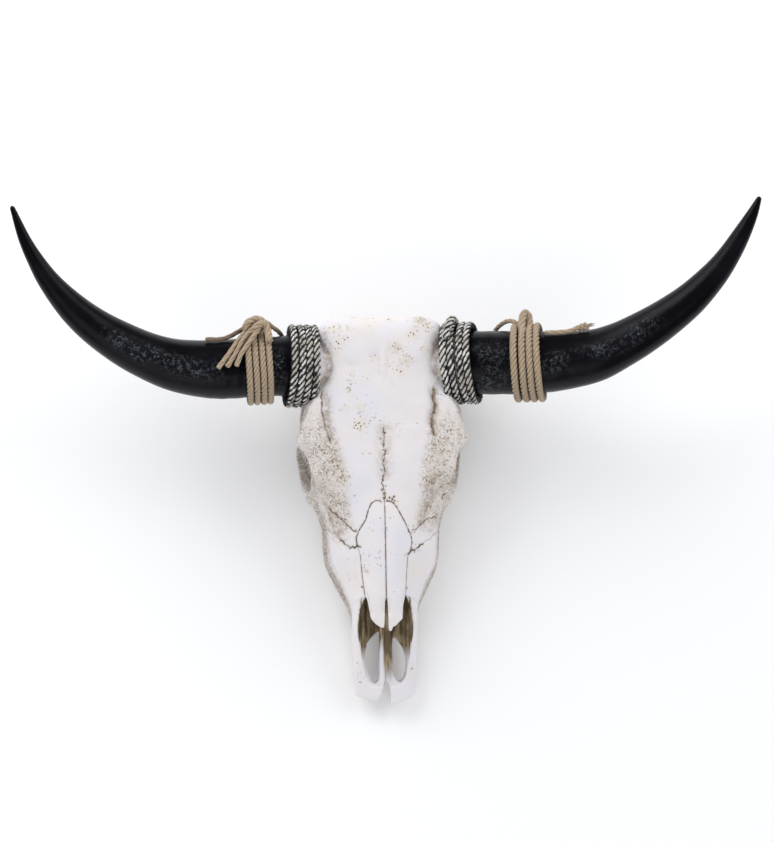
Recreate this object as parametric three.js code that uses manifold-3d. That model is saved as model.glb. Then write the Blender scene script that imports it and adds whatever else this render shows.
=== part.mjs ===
// A life-size skull of a long-horned cow, without its lower jaw, lying on its teeth and on the back of its base.
// Rope bands bind the roots of the two black horns, and a jute cord is lashed round each horn further out.
//
// The bones are modelled in the face frame, in millimetres: u across the head, v from the poll towards the muzzle,
// and w from the plane of the forehead down into the head. settle() turns that frame so that the skull rests on z = 0.
import * as THREE from "three";
import { mergeVertices } from "three/addons/utils/BufferGeometryUtils.js";
import Module from "manifold-3d";

const wasm = await Module();
wasm.setup();

// ---------- Driving dimensions ----------
const SKULL_LENGTH = 495; // poll to the tip of the longer premaxilla
const FACE_TILT = THREE.MathUtils.degToRad(12); // slope of the forehead when the skull rests on its cheek teeth
const POLL_HEIGHT = 180; // the forehead's plane above the floor, at the poll
const SEAM = 0.4; // width of the cut between two bones
const GAP = 0.3; // clearance between a bone, a horn and what is bound round it

const ORBIT = { u: 95, v: 186, w: 51, radius: 32, rim: 10, depth: 50, forward: 0.13, down: 0.18 };
const TOOTH_ROW = { front: 368, back: 240, crown: 24, halfWidth: 10.5, frontHalf: 40, backHalf: 59 };
const TEETH = [16, 16, 17, 22, 26, 29]; // lengths along the jaw, from the second premolar to the last molar
const CAVITY_FLOOR = 72;
// The outlines of the slots in the palate: u and v.
const SLOTS = {
  left: [[-5, 399], [-25, 419], [-25, 438], [-21, 455], [-15, 465], [-10, 463], [-8, 448]],
  right: [[12, 405], [24, 421], [27, 435], [24.5, 459], [18, 465], [13.7, 459], [11.4, 430]],
};
const MAGNUM = { w: 122, radius: 17, depth: 42 };

const ROOT_END = 111; // where the bony root of the horn stops inside the band
// What is wound round the horns. A turn lies further out by `lean` for each millimetre towards the muzzle, and by
// `tip` for each millimetre deeper than the horn's axis, which lies at `depth` there.
const BANDS = {
  left: { start: 80.8, turns: 4, pitch: 9.4, thickness: 9.8, inner: 43.2, lean: 0.055, tip: -0.06, depth: 42 },
  right: { start: 85.4, turns: 4, pitch: 10, thickness: 9.8, inner: 43.2, lean: 0.065, tip: 0.15, depth: 42 },
};
const LASHINGS = {
  left: { start: 136.4, turns: 4, pitch: 8.2, thickness: 8.2, inner: 39.4, lean: 0, tip: -0.12, depth: 34 },
  right: { start: 169.6, turns: 4, pitch: 9.9, thickness: 9.2, inner: 41.5, lean: 0.03, tip: 0.12, depth: 29 },
};
const TAIL = 6; // diameter of the cord's loose ends

// The horns' centrelines and radii: u, v, w, r. The horns rise a little towards their tips.
const HORNS = {
  left: [
    [60, 59.5, 48, 41],
    [90, 59.5, 43.5, 40.8],
    [124, 59, 38, 38.2],
    [165, 60.5, 32, 37.9],
    [205, 61.9, 27, 37.4],
    [235, 59.5, 22.5, 35.2],
    [264, 53.5, 17, 32.2],
    [293, 42.6, 10.5, 29.2],
    [321, 28.1, 3, 26.7],
    [350, 9.5, -6, 23.4],
    [378, -14.4, -16.5, 19.4],
    [405, -46.5, -28.4, 14],
    [420, -71, -36, 10.8],
    [433, -98, -43, 7.8],
    [447, -138, -52, 3],
  ],
  right: [
    [60, 59.5, 48, 41],
    [90, 59.5, 43.5, 41],
    [124, 59.5, 38, 40.6],
    [165, 60.5, 32, 40.4],
    [213, 60.6, 26, 39.2],
    [240, 58.6, 21.5, 37],
    [273, 53.3, 15, 33.6],
    [303, 41.4, 8, 29.8],
    [332, 25.9, 0, 27.2],
    [361, 7.4, -10, 24.3],
    [389, -14.6, -21.5, 21.2],
    [417, -44.5, -34.5, 17.2],
    [431, -64.2, -42, 14.6],
    [445, -88.1, -50, 11.8],
    [458, -114.3, -59, 7.6],
    [467, -136, -65, 3],
  ],
};

const COLOURS = {
  bone: [0xe6e0da, 0.75],
  horn: [0x14141a, 0.3],
  rope: [0x77746c, 0.85],
  jute: [0xae9673, 0.95],
};

// ---------- Solids ----------
const ramp = (t) => t * t * (3 - 2 * t);

// A geometry as a manifold solid, with its faces turned outwards.
function solidOf(geometry) {
  const bare = geometry.clone();
  bare.deleteAttribute("normal");
  bare.deleteAttribute("uv");
  const merged = mergeVertices(bare, 1e-3);
  const triVerts = new Uint32Array(merged.index.array);
  const vertProperties = merged.attributes.position.array;
  const corner = (i) => new THREE.Vector3().fromArray(vertProperties, 3 * triVerts[i]);
  let volume = 0;
  for (let i = 0; i < triVerts.length; i += 3) {
    volume += corner(i).dot(corner(i + 1).cross(corner(i + 2)));
  }
  if (volume < 0) {
    for (let i = 0; i < triVerts.length; i += 3) {
      [triVerts[i + 1], triVerts[i + 2]] = [triVerts[i + 2], triVerts[i + 1]];
    }
  }
  return new wasm.Manifold(new wasm.Mesh({ numProp: 3, vertProperties, triVerts }));
}

function geometryOf(solid) {
  const mesh = solid.getMesh();
  return new THREE.BufferGeometry()
    .setAttribute("position", new THREE.BufferAttribute(mesh.vertProperties, 3))
    .setIndex(new THREE.BufferAttribute(mesh.triVerts, 1));
}

const union = (solids) => solids.reduce((all, one) => all.add(one));
const cut = (solid, tools) => tools.reduce((left, tool) => left.subtract(tool), solid);
const largest = (solid) => solid.decompose().reduce((a, b) => (a.volume() > b.volume() ? a : b));
const bothSides = (make) => [make(-1), make(1)];

// Moves each vertex of a geometry to where `to` puts it.
function reshape(geometry, to) {
  const position = geometry.attributes.position;
  for (let i = 0; i < position.count; i += 1) {
    const p = to(position.getX(i), position.getY(i), position.getZ(i));
    position.setXYZ(i, p.x, p.y, p.z);
  }
  return geometry;
}

// One value of a row of stations at v, on a smooth curve through the stations.
function valueAt(stations, key, v) {
  const last = stations.length - 1;
  const found = stations.findIndex((s) => s.v >= v);
  const i = THREE.MathUtils.clamp((found < 0 ? last : found) - 1, 0, last - 1);
  const [a, b] = [stations[i], stations[i + 1]];
  const slope = (j) => {
    const [p, q] = [stations[Math.max(j - 1, 0)], stations[Math.min(j + 1, last)]];
    return (q[key] - p[key]) / (q.v - p.v);
  };
  const h = b.v - a.v;
  const t = THREE.MathUtils.clamp((v - a.v) / h, 0, 1);
  const along = ramp(t);
  const bendA = h * slope(i) * t * (1 - t) ** 2;
  const bendB = h * slope(i + 1) * t * t * (1 - t);
  return a[key] + (b[key] - a[key]) * along + bendA - bendB;
}

// A closed body through rings across v. A station gives the ring's top and bottom, and the half widths that its
// sides have at the top, in the middle and at the bottom. Corners are squarer where `square` is larger.
function ringed(stations, square, sides, between = 1) {
  const rings = (stations.length - 1) * between;
  const tube = new THREE.CylinderGeometry(1, 1, rings, sides, rings);
  return solidOf(
    reshape(tube, (x, y, z) => {
      const place = (rings / 2 - y) / between;
      const i = Math.min(Math.floor(place + 1e-6), stations.length - 2);
      const v = THREE.MathUtils.lerp(stations[i].v, stations[i + 1].v, place - i);
      const at = (key) => valueAt(stations, key, v);
      const reach = Math.hypot(x, z);
      const [cos, sin] = reach ? [z / reach, x / reach] : [0, 0];
      const rounded = (c) => Math.sign(c) * Math.abs(c) ** (2 / square) * reach;
      const depth = (1 - rounded(cos)) / 2;
      const below = 1 - depth;
      const uneven = below * (below - depth) * at("upper") + depth * (depth - below) * at("lower");
      const half = uneven + 4 * depth * below * at("middle");
      return new THREE.Vector3(half * rounded(sin), v, at("top") + (at("bottom") - at("top")) * depth);
    }),
  );
}

function ball([u, v, w], [ru, rv, rw], sides = 16, rows = 10) {
  return solidOf(new THREE.SphereGeometry(1, sides, rows).scale(ru, rv, rw).translate(u, v, w));
}

function block([u0, v0, w0], [u1, v1, w1]) {
  const box = new THREE.BoxGeometry(Math.abs(u1 - u0), v1 - v0, w1 - w0);
  return solidOf(box.translate((u0 + u1) / 2, (v0 + v1) / 2, (w0 + w1) / 2));
}

// A prism with its outline across u and v, from one depth to another.
function prism(points, from, to) {
  const shape = new THREE.Shape(points.map(([u, v]) => new THREE.Vector2(u, v)));
  const made = new THREE.ExtrudeGeometry(shape, { depth: to - from, bevelEnabled: false });
  return solidOf(made.translate(0, 0, from));
}

// A prism seen from the side of the head: its outline across v and w, from u0 to u1.
function sidePrism(points, u0, u1) {
  const shape = new THREE.Shape(points.map(([v, w]) => new THREE.Vector2(v, w)));
  const made = new THREE.ExtrudeGeometry(shape, { depth: u1 - u0, bevelEnabled: false });
  return solidOf(reshape(made, (v, w, u) => new THREE.Vector3(u0 + u, v, w)));
}

// A lathe profile (radius against distance along the axis, from 0 to 1) bent along a curve, with frames that keep
// `flat` as the section's first direction.
function bent(profile, curve, sides, squash = 1) {
  const lathe = new THREE.LatheGeometry(profile, sides);
  const side = new THREE.Vector3();
  const over = new THREE.Vector3();
  return reshape(lathe, (x, y, z) => {
    const t = THREE.MathUtils.clamp(y, 0, 1);
    const centre = curve.getPointAt(t);
    const ahead = curve.getTangentAt(t);
    side.crossVectors(ahead, new THREE.Vector3(0, 0, 1)).normalize();
    over.crossVectors(side, ahead);
    return centre.addScaledVector(side, x * squash).addScaledVector(over, z);
  });
}

// A round limb along points that each give u, v, w and a radius.
function limb(points, sides, rows, squash = 1) {
  const curve = new THREE.CatmullRomCurve3(points.map(([u, v, w]) => new THREE.Vector3(u, v, w)), false, "centripetal");
  curve.arcLengthDivisions = 400;
  const lengths = curve.getLengths(400);
  const radiusAt = (share) => {
    const wanted = share * lengths.at(-1);
    const raw = (lengths.findIndex((l) => l >= wanted - 1e-6) / 400) * (points.length - 1);
    const i = Math.min(Math.floor(raw), points.length - 2);
    return THREE.MathUtils.lerp(points[i][3], points[i + 1][3], raw - i);
  };
  const profile = [new THREE.Vector2(0, 0)];
  for (let i = 0; i <= rows; i += 1) {
    profile.push(new THREE.Vector2(radiusAt(i / rows), i / rows));
  }
  profile.push(new THREE.Vector2(0, 1));
  return solidOf(bent(profile, curve, sides, squash));
}

const mirrored = (points, side) => points.map(([u, ...rest]) => [side * u, ...rest]);

// How deep the floor lies under the forehead's plane at v.
const floorDepth = (v) => POLL_HEIGHT / Math.cos(FACE_TILT) - v * Math.tan(FACE_TILT);

// ---------- Masses of the skull ----------
const DEEP = 260; // beyond the skull in any direction

// The frontal plate: the broad forehead, rolled over at the poll, and widest over the eyes.
function forehead() {
  return ringed(
    [
      { v: 0, top: 17, bottom: 40, upper: 55, middle: 57, lower: 52 },
      { v: 4, top: 8, bottom: 46, upper: 67, middle: 68, lower: 58 },
      { v: 14, top: 1, bottom: 56, upper: 76, middle: 77, lower: 62 },
      { v: 34, top: -1, bottom: 62, upper: 75, middle: 76, lower: 60 },
      { v: 62, top: 0, bottom: 58, upper: 74, middle: 74, lower: 54 },
      { v: 93, top: 1, bottom: 46, upper: 80, middle: 82, lower: 54 },
      { v: 115, top: 2, bottom: 40, upper: 92, middle: 96, lower: 58 },
      { v: 142, top: 3, bottom: 36, upper: 97, middle: 102, lower: 64 },
      { v: 155, top: 4, bottom: 34, upper: 100, middle: 108.5, lower: 68 },
      { v: 170, top: 4, bottom: 34, upper: 88, middle: 96, lower: 60 },
      { v: 197, top: 4, bottom: 40, upper: 74, middle: 82, lower: 60 },
      { v: 232, top: 14, bottom: 46, upper: 52, middle: 60, lower: 50 },
    ],
    3.2,
    14,
  );
}

// The braincase under the forehead, narrow between the temporal hollows.
function braincase() {
  return ringed(
    [
      { v: 12, top: 24, bottom: 128, upper: 60, middle: 60, lower: 48 },
      { v: 60, top: 28, bottom: 136, upper: 56, middle: 60, lower: 52 },
      { v: 110, top: 28, bottom: 126, upper: 50, middle: 50, lower: 36 },
      { v: 190, top: 24, bottom: 116, upper: 48, middle: 44, lower: 30 },
    ],
    2.8,
    10,
  );
}

// The face: broad at the cheeks, tapering to the roots of the front teeth.
function face() {
  return ringed(
    [
      { v: 160, top: 20, bottom: 114, upper: 50, middle: 50, lower: 38 },
      { v: 196, top: 8, bottom: 118, upper: 72, middle: 85, lower: 54 },
      { v: 222, top: 4, bottom: 118, upper: 64, middle: 88, lower: 64 },
      { v: 242, top: 4, bottom: 116, upper: 52, middle: 78.5, lower: 67 },
      { v: 280, top: 5, bottom: 112, upper: 38, middle: 73, lower: 68 },
      { v: 314, top: 7, bottom: 106, upper: 30, middle: 68, lower: 66 },
      { v: 334, top: 9, bottom: 101, upper: 27, middle: 57, lower: 56 },
      { v: 358, top: 12, bottom: 96, upper: 25, middle: 47, lower: 48 },
      { v: 380, top: 18, bottom: 91, upper: 22, middle: 40.5, lower: 44 },
      { v: 398, top: 34, bottom: 80, upper: 16, middle: 34, lower: 36 },
    ],
    2.8,
    14,
  );
}

// The muzzle: the two premaxillae, whose upper edges sink towards the tip.
function muzzle() {
  return ringed(
    [
      { v: 352, top: 20, bottom: 94, upper: 40, middle: 42, lower: 44 },
      { v: 400, top: 32, bottom: 85, upper: 41, middle: 42, lower: 42 },
      { v: 450, top: 46, bottom: 76, upper: 38, middle: 40.5, lower: 36 },
      { v: SKULL_LENGTH, top: 55, bottom: 70, upper: 36, middle: 38.5, lower: 31 },
    ],
    4.5,
    14,
  );
}

// The cheekbone: its ridge along the face, and its arch back to the jaw joint.
function cheek(side) {
  const arch = [
    [60, 326, 74, 5],
    [66, 302, 78, 10],
    [69, 262, 81, 12],
    [76, 241, 83, 13],
    [87, 226, 85, 13],
    [94, 205, 88, 11],
    [95.5, 178, 92, 10],
    [95, 148, 95, 9.5],
    [92, 116, 99, 9.5],
    [81, 86, 104, 10],
    [48, 62, 108, 14],
  ];
  return limb(mirrored(arch, side), 8, 9, 0.75);
}

// Turns what is made round the orbit's axis, pointing away from the head, into place.
function atOrbit(geometry, side) {
  geometry.rotateZ(-Math.PI / 2).rotateZ(ORBIT.forward).rotateY(ORBIT.down);
  geometry.translate(ORBIT.u, ORBIT.v, ORBIT.w);
  return solidOf(side < 0 ? geometry.scale(-1, 1, 1) : geometry);
}

// The wall of the eye socket and its rim, which ends in the bar behind the eye.
function socketWall(side) {
  const outer = ORBIT.radius + ORBIT.rim;
  const wall = [[0, -ORBIT.depth], [outer - 5, -ORBIT.depth], [outer, -4], [outer - 4, 4], [0, 4]];
  return atOrbit(new THREE.LatheGeometry(wall.map(([x, y]) => new THREE.Vector2(x, y)), 12), side);
}

// The hollow of the eye socket, which narrows inwards.
function socket(side) {
  const bowl = [[0, -ORBIT.depth + 4], [16, -ORBIT.depth + 4], [27, -26], [ORBIT.radius, -6], [ORBIT.radius, 12], [0, 12]];
  return atOrbit(new THREE.LatheGeometry(bowl.map(([x, y]) => new THREE.Vector2(x, y)), 12), side);
}

// The hollow for the jaw muscle, open behind the eye and between the braincase and the arch.
function temple(side) {
  return ball([side * 76, 122, 68], [21, 40, 27], 8, 6);
}

// The bony root that the horn sits on, and the horn itself, parted inside the band.
const hornLine = (side) => mirrored(side < 0 ? HORNS.left : HORNS.right, side);
const hornAndRoot = (side) => limb(hornLine(side), 14, 15);
const outside = (side, u) => block([side * u, -DEEP, -DEEP], [side * 2 * DEEP, DEEP, DEEP]);
const root = (side) => hornAndRoot(side).subtract(outside(side, ROOT_END));
const horn = (side) => hornAndRoot(side).intersect(outside(side, ROOT_END + GAP));

// The horn's centreline, and where along it a value of u lies.
function hornAxis(side) {
  const points = hornLine(side).map(([u, v, w]) => new THREE.Vector3(u, v, w));
  return new THREE.CatmullRomCurve3(points, false, "centripetal");
}

function shareAt(curve, u) {
  let [low, high] = [0, 1];
  for (let step = 0; step < 24; step += 1) {
    const middle = (low + high) / 2;
    if (Math.abs(curve.getPointAt(middle).x) < u) low = middle;
    else high = middle;
  }
  return low;
}

// Leans and tips what is wound round the horn.
const leaning = (geometry, side, { lean, tip, depth }) =>
  reshape(geometry, (u, v, w) => {
    const further = lean * (v - HORNS.left[0][1]) + tip * (w - depth);
    return new THREE.Vector3(u + side * further, v, w);
  });

// The room that a winding takes up round the horn.
function windingRoom(side, wound, reachOut = 0) {
  const { start, turns, pitch, thickness, inner } = wound;
  const curve = hornAxis(side);
  const [from, to] = [shareAt(curve, start - GAP), shareAt(curve, start + turns * pitch + GAP + reachOut)];
  const reach = inner + thickness + GAP;
  const profile = [[0, from], [reach, from], [reach, to], [0, to]].map(([x, y]) => new THREE.Vector2(x, y));
  return solidOf(leaning(bent(profile, curve, 14), side, wound));
}

// The broad back of the head, with the crests behind the ears.
function nape() {
  return ringed(
    [
      { v: 7, top: 44, bottom: 124, upper: 46, middle: 66, lower: 50 },
      { v: 14, top: 40, bottom: 130, upper: 54, middle: 82, lower: 62 },
      { v: 30, top: 40, bottom: 134, upper: 56, middle: 88, lower: 66 },
      { v: 56, top: 46, bottom: 130, upper: 50, middle: 70, lower: 56 },
    ],
    2.5,
    10,
  );
}

// What stands under the braincase: the condyles, the hooked processes that the skull rests on, the ear bullae,
// the bar of the base and the plates beside the throat.
function underside(side) {
  const at = (points) => mirrored(points, side);
  return [
    ball([side * 26, 14, 126], [19, 20, 23], 8, 6),
    limb(at([[58, 38, 108, 22], [56, 36, 146, 16], [52, 31, 186, 9]]), 8, 2, 0.7),
    ball([side * 40, 70, 132], [13, 19, 20], 6, 4),
    limb(at([[17, 28, 134, 14], [15, 90, 124, 12], [13, 170, 112, 12]]), 6, 2),
    prism(at([[15, 172], [22, 166], [31, 236], [20, 246]]), 96, 123),
  ];
}

// One row of cheek teeth, lobed along both sides, whose crowns the floor trims flat.
function teeth(side) {
  const rowLength = TEETH.reduce((sum, length) => sum + length, 0);
  const middleAt = (v) =>
    THREE.MathUtils.lerp(TOOTH_ROW.backHalf, TOOTH_ROW.frontHalf, ramp((v - TOOTH_ROW.back) / rowLength));
  const outline = (edge) => {
    const points = [];
    let v = TOOTH_ROW.front;
    for (const length of TEETH) {
      const width = TOOTH_ROW.halfWidth * (length > 20 ? 1 : 0.8);
      for (const [along, swell] of [[0, 0.72], [0.5, 1]]) {
        const here = v - length * along;
        points.push([side * (middleAt(here) + edge * width * swell), here]);
      }
      v -= length;
    }
    return points;
  };
  const row = [...outline(1), ...outline(-1).reverse()];
  const low = floorDepth(TOOTH_ROW.back) + 6;
  const slab = sidePrism(
    [
      [TOOTH_ROW.front + 1, 70],
      [TOOTH_ROW.front + 1, low],
      [TOOTH_ROW.back - 1, low],
      [TOOTH_ROW.back - 1, 90],
    ],
    -DEEP,
    DEEP,
  );
  return prism(row, 70, low).intersect(slab);
}

// The bone that holds the roots of the cheek teeth.
function toothRidge(side) {
  const low = (v) => floorDepth(v) - TOOTH_ROW.crown;
  const ridge = [
    [34, 388, low(388) - 5, 6],
    [39, 364, low(364) - 8, 10],
    [46, 342, low(342) - 10, 14],
    [56, 312, low(312) - 12, 17],
    [58, 276, low(276) - 13, 17],
    [55, 236, low(236) - 14, 14],
  ];
  return limb(mirrored(ridge, side), 8, 5);
}

// ---------- Hollows ----------
// The nasal cavity, open to the front under the nasal bones, with a keel left standing along its floor.
function nasalCavity() {
  const hollow = ringed(
    [
      { v: 262, top: 26, bottom: 64, upper: 10, middle: 16, lower: 10 },
      { v: 300, top: 16, bottom: 72, upper: 20, middle: 29, lower: 20 },
      { v: 350, top: 14, bottom: CAVITY_FLOOR + 2, upper: 24, middle: 31, lower: 24 },
      { v: 372, top: 6, bottom: CAVITY_FLOOR, upper: 28, middle: 31, lower: 25 },
      { v: 425, top: 2, bottom: CAVITY_FLOOR - 4, upper: 28, middle: 30, lower: 25 },
      { v: 456, top: 12, bottom: CAVITY_FLOOR - 12, upper: 26, middle: 28, lower: 23 },
      { v: 468, top: 26, bottom: CAVITY_FLOOR - 18, upper: 21, middle: 24, lower: 20 },
    ],
    3.4,
    10,
  );
  const keel = prism([[-5, 290], [5, 290], [8.8, 400], [10.5, 474], [-8, 474], [-6.8, 400]], 56, 80);
  return hollow.subtract(keel);
}

// The nasal bones' front, which stands free over the cavity like a roof.
function nasalRoof() {
  const plate = ringed(
    [
      { v: 338, top: 9.4, bottom: 19, upper: 28, middle: 31, lower: 31 },
      { v: 366, top: 12, bottom: 21, upper: 26, middle: 31, lower: 31 },
      { v: 398, top: 17, bottom: 23, upper: 24, middle: 31, lower: 31 },
    ],
    2.6,
    10,
  );
  return plate.intersect(union(bothSides((side) => nasalRegion(side, 0))));
}

// The slots through the front of the palate.
const palateSlot = (outline) => prism(outline, 40, 110);

// The arched roof of the mouth between the tooth rows, and the throat behind it.
function mouthRoof() {
  const vault = ringed(
    [
      { v: 225, top: 106, bottom: 150, upper: 22, middle: 36, lower: 40 },
      { v: 262, top: 104, bottom: 140, upper: 26, middle: 39, lower: 42 },
      { v: 330, top: 92, bottom: 130, upper: 20, middle: 33, lower: 36 },
      { v: 372, top: 85, bottom: 120, upper: 18, middle: 26, lower: 29 },
      { v: 400, top: 83, bottom: 110, upper: 12, middle: 20, lower: 24 },
    ],
    2.4,
    10,
  );
  const throat = prism([[-14, 160], [14, 160], [19, 246], [-19, 246]], 92, 170);
  return [vault, throat];
}

// The opening for the spinal cord, and the hollows of the nape above it.
function napeHollows() {
  const canal = new THREE.CylinderGeometry(MAGNUM.radius, MAGNUM.radius * 0.8, MAGNUM.depth, 10);
  const shallow = bothSides((side) => ball([side * 32, 6, 72], [26, 8, 24], 8, 4));
  return [solidOf(canal.translate(0, MAGNUM.depth / 2 - 4, MAGNUM.w - 12)), ...shallow];
}

// The groove over the eye that runs along the forehead to its little hole.
function browGroove(side) {
  return ball([side * 64, 128, 1], [4.5, 28, 5], 6, 4);
}

// The front edges of the premaxillae, the right one longer than the left, and the notch between them.
function muzzleTrims() {
  const beyond = SKULL_LENGTH + 20;
  return [
    prism([[-1.5, 464], [3, 464], [6, 480], [5, beyond], [-3.5, beyond], [-3, 478]], 20, 100),
    prism([[-60, 470], [-39, 477], [-34, 484], [-16, 488], [-7, 486], [-2, 472], [-2, beyond], [-60, beyond]], 20, 100),
    prism([[60, 462], [40, 474], [33, 483], [18, 490], [5, 495.2], [4, beyond], [60, beyond]], 20, 100),
  ];
}

function wholeSkull() {
  const masses = union([
    forehead(),
    braincase(),
    nape(),
    face(),
    muzzle(),
    ...bothSides(socketWall),
    ...bothSides(cheek),
    ...bothSides(underside).flat(),
    ...bothSides(toothRidge),
  ]);
  const hollowed = cut(masses, [
    nasalCavity(),
    ...mouthRoof(),
    ...bothSides(socket),
    ...bothSides(temple),
    ...Object.values(SLOTS).map(palateSlot),
    ...bothSides(browGroove),
    ...napeHollows(),
    ...muzzleTrims(),
  ]);
  const rooms = bothSides((side) => windingRoom(side, side < 0 ? BANDS.left : BANDS.right, 60));
  return union([cut(hollowed, rooms), nasalRoof(), ...bothSides(root), ...bothSides(teeth)]);
}

// ---------- Bones, parted along their sutures ----------
// The outline of one nasal bone beside the midline, grown by a margin where its neighbour is cut.
function nasalOutline(side, grow) {
  const tip = side > 0 ? 393 : 389;
  const points = [
    [17, 235 - grow],
    [22 + grow, 249 - grow],
    [32 + grow, 266 - grow],
    [34.5 + grow, 279],
    [32.5 + grow, 291],
    [28.5 + grow, 301],
    [27 + grow, 322],
    [26 + grow, 350],
    [22 + grow, 364],
    [17 + grow, 381 + grow],
    [6 + grow, tip + grow],
    [1.6 - 2 * grow, tip - 2 + grow],
  ];
  const middle = grow ? -SEAM : SEAM / 2;
  return mirrored([[middle, 232 - grow], ...points, [middle, tip - 12]], side);
}

const nasalRegion = (side, grow) =>
  sidePrism([[200, -40], [460, -40], [460, 30 + grow], [300, 17 + grow], [200, 13 + grow]], -60, 60).intersect(
    prism(nasalOutline(side, grow), -60, 60),
  );

// In front of a slanting suture on the side of the muzzle.
const muzzleRegion = (grow) =>
  sidePrism([[338 - grow, -20], [352 - grow, 20], [412 - grow, 100], [560, 100], [560, -20]], -DEEP, DEEP);

// In front of the cheek suture above, and all that holds the teeth below.
const jawRegion = (grow) =>
  prism(
    [
      [-120, 262 - grow],
      [-78, 268 - grow],
      [-62, 277 - grow],
      [-50, 287 - grow],
      [-34, 292 - grow],
      [34, 292 - grow],
      [50, 287 - grow],
      [62, 277 - grow],
      [78, 268 - grow],
      [120, 262 - grow],
      [120, 560],
      [-120, 560],
    ],
    -40,
    200,
  ).add(block([-DEEP, 232 - grow, 98 - grow], [DEEP, 420, 220]));

// The cheekbone below the eye and its arch.
const cheekRegion = (side, grow) => {
  const outline = [
    [268 + grow, 66 - grow],
    [236, 58 - grow],
    [150 - grow, 58 - grow],
    [150 - grow, 80 - grow],
    [96 - grow, 84 - grow],
    [96 - grow, 124 + grow],
    [268 + grow, 124 + grow],
  ];
  const [near, far] = side > 0 ? [66 - grow, DEEP] : [-DEEP, -66 + grow];
  return sidePrism(outline, near, far);
};

const half = (side) => block([(side * SEAM) / 2, -DEEP, -DEEP], [side * DEEP, 600, DEEP]);

function bones() {
  const whole = wholeSkull();
  const grownNasals = bothSides((side) => nasalRegion(side, SEAM));
  const grownCheeks = bothSides((side) => cheekRegion(side, SEAM));
  const parts = {
    cranium: cut(whole, [jawRegion(SEAM), ...grownNasals, ...grownCheeks]),
  };
  for (const [side, name] of [[-1, "left"], [1, "right"]]) {
    parts["nasal_" + name] = whole.intersect(nasalRegion(side, 0));
    parts["zygomatic_" + name] = whole.intersect(cheekRegion(side, 0)).subtract(jawRegion(SEAM));
    parts["maxilla_" + name] = cut(whole.intersect(jawRegion(0)).intersect(half(side)), [muzzleRegion(SEAM), ...grownNasals]);
    parts["premaxilla_" + name] = cut(whole.intersect(jawRegion(0)).intersect(muzzleRegion(0)).intersect(half(side)), grownNasals);
  }
  return Object.fromEntries(Object.entries(parts).map(([name, solid]) => [name, largest(solid)]));
}

// ---------- Horns and what is bound round them ----------
// A ribbed sleeve of touching turns round the horn, from u = start outwards.
function winding(side, wound) {
  const { start, turns, pitch, thickness, inner } = wound;
  const curve = hornAxis(side);
  const from = shareAt(curve, start);
  const step = pitch / curve.getLength();
  const outline = [];
  const add = (out, turn) => outline.push(new THREE.Vector2(inner + thickness * out, from + step * turn));
  for (let turn = 0; turn < turns; turn += 1) {
    add(turn ? 0.62 : 0.45, turn);
    add(1, turn + 0.5);
  }
  add(0.45, turns);
  add(0, turns - 0.3);
  add(0, 0.3);
  return solidOf(leaning(bent([...outline, outline[0]], curve, 14), side, wound));
}

// The knots beside the lashings, each with the strand that runs from it behind the horn.
const KNOTS = {
  left: {
    lump: [[-154, 4.5, 22], [16.5, 9.5, 12]],
    strand: [[-143, 5, 27, 3], [-135, 7.5, 33, 3], [-126, 13, 43, 3], [-122, 20, 58, 3]],
  },
  right: {
    lump: [[183, 5, 26], [8, 12, 9]],
    strand: [[178, 3, 28, 3], [166, 3, 34, 3], [154, 9, 44, 3], [145, 18, 58, 3]],
  },
};

// The loose ends of the cord, which lie on the horns: u, the angle round the horn from its upper side towards the
// poll, and the height of the cord's middle over the horn.
const TAILS = {
  tail_left_1: [[-163, 72, 16], [-176, 52, 9], [-191, 24, 3.7], [-204, 0, 3.7]],
  tail_left_2: [[-157, 66, 18], [-171, 46, 12], [-182, 24, 5], [-193, 2, 3.7]],
  tail_left_3: [[-151, 58, 19], [-162, 40, 15.5], [-174.5, 22, 8], [-181.5, 2, 3.7]],
  tail_left_4: [[-163, 83, 17], [-176, 77, 10], [-196, 65, 4], [-219, 64, 3.7]],
  tail_right_1: [[206, 58, 3.7], [220, 58, 3.7], [238, 62, 3.7], [250, 68, 6], [263, 68, 3.7]],
};

// A point over the horn's surface.
function overHorn([u, degrees, height]) {
  const axis = hornAxis(Math.sign(u));
  const share = shareAt(axis, Math.abs(u));
  const centre = axis.getPointAt(share);
  const line = hornLine(Math.sign(u));
  const i = line.findIndex((point) => Math.abs(point[0]) >= Math.abs(u));
  const [a, b] = [line[i - 1], line[i]];
  const radius = THREE.MathUtils.mapLinear(u, a[0], b[0], a[3], b[3]) + height;
  const angle = THREE.MathUtils.degToRad(degrees);
  return centre.add(new THREE.Vector3(0, -Math.sin(angle) * radius, -Math.cos(angle) * radius));
}

function tail(points) {
  const curve = new THREE.CatmullRomCurve3(points.map(overHorn));
  const section = new THREE.Shape().absarc(0, 0, TAIL / 2, 0, 2 * Math.PI);
  const steps = Math.round(curve.getLength() / (2.6 * TAIL));
  return solidOf(new THREE.ExtrudeGeometry(section, { steps, curveSegments: 4, extrudePath: curve }));
}

// The room that a horn takes up.
const hornRoom = (side) => limb(hornLine(side).map(([u, v, w, r]) => [u, v, w, r + GAP]), 14, 15);

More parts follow.
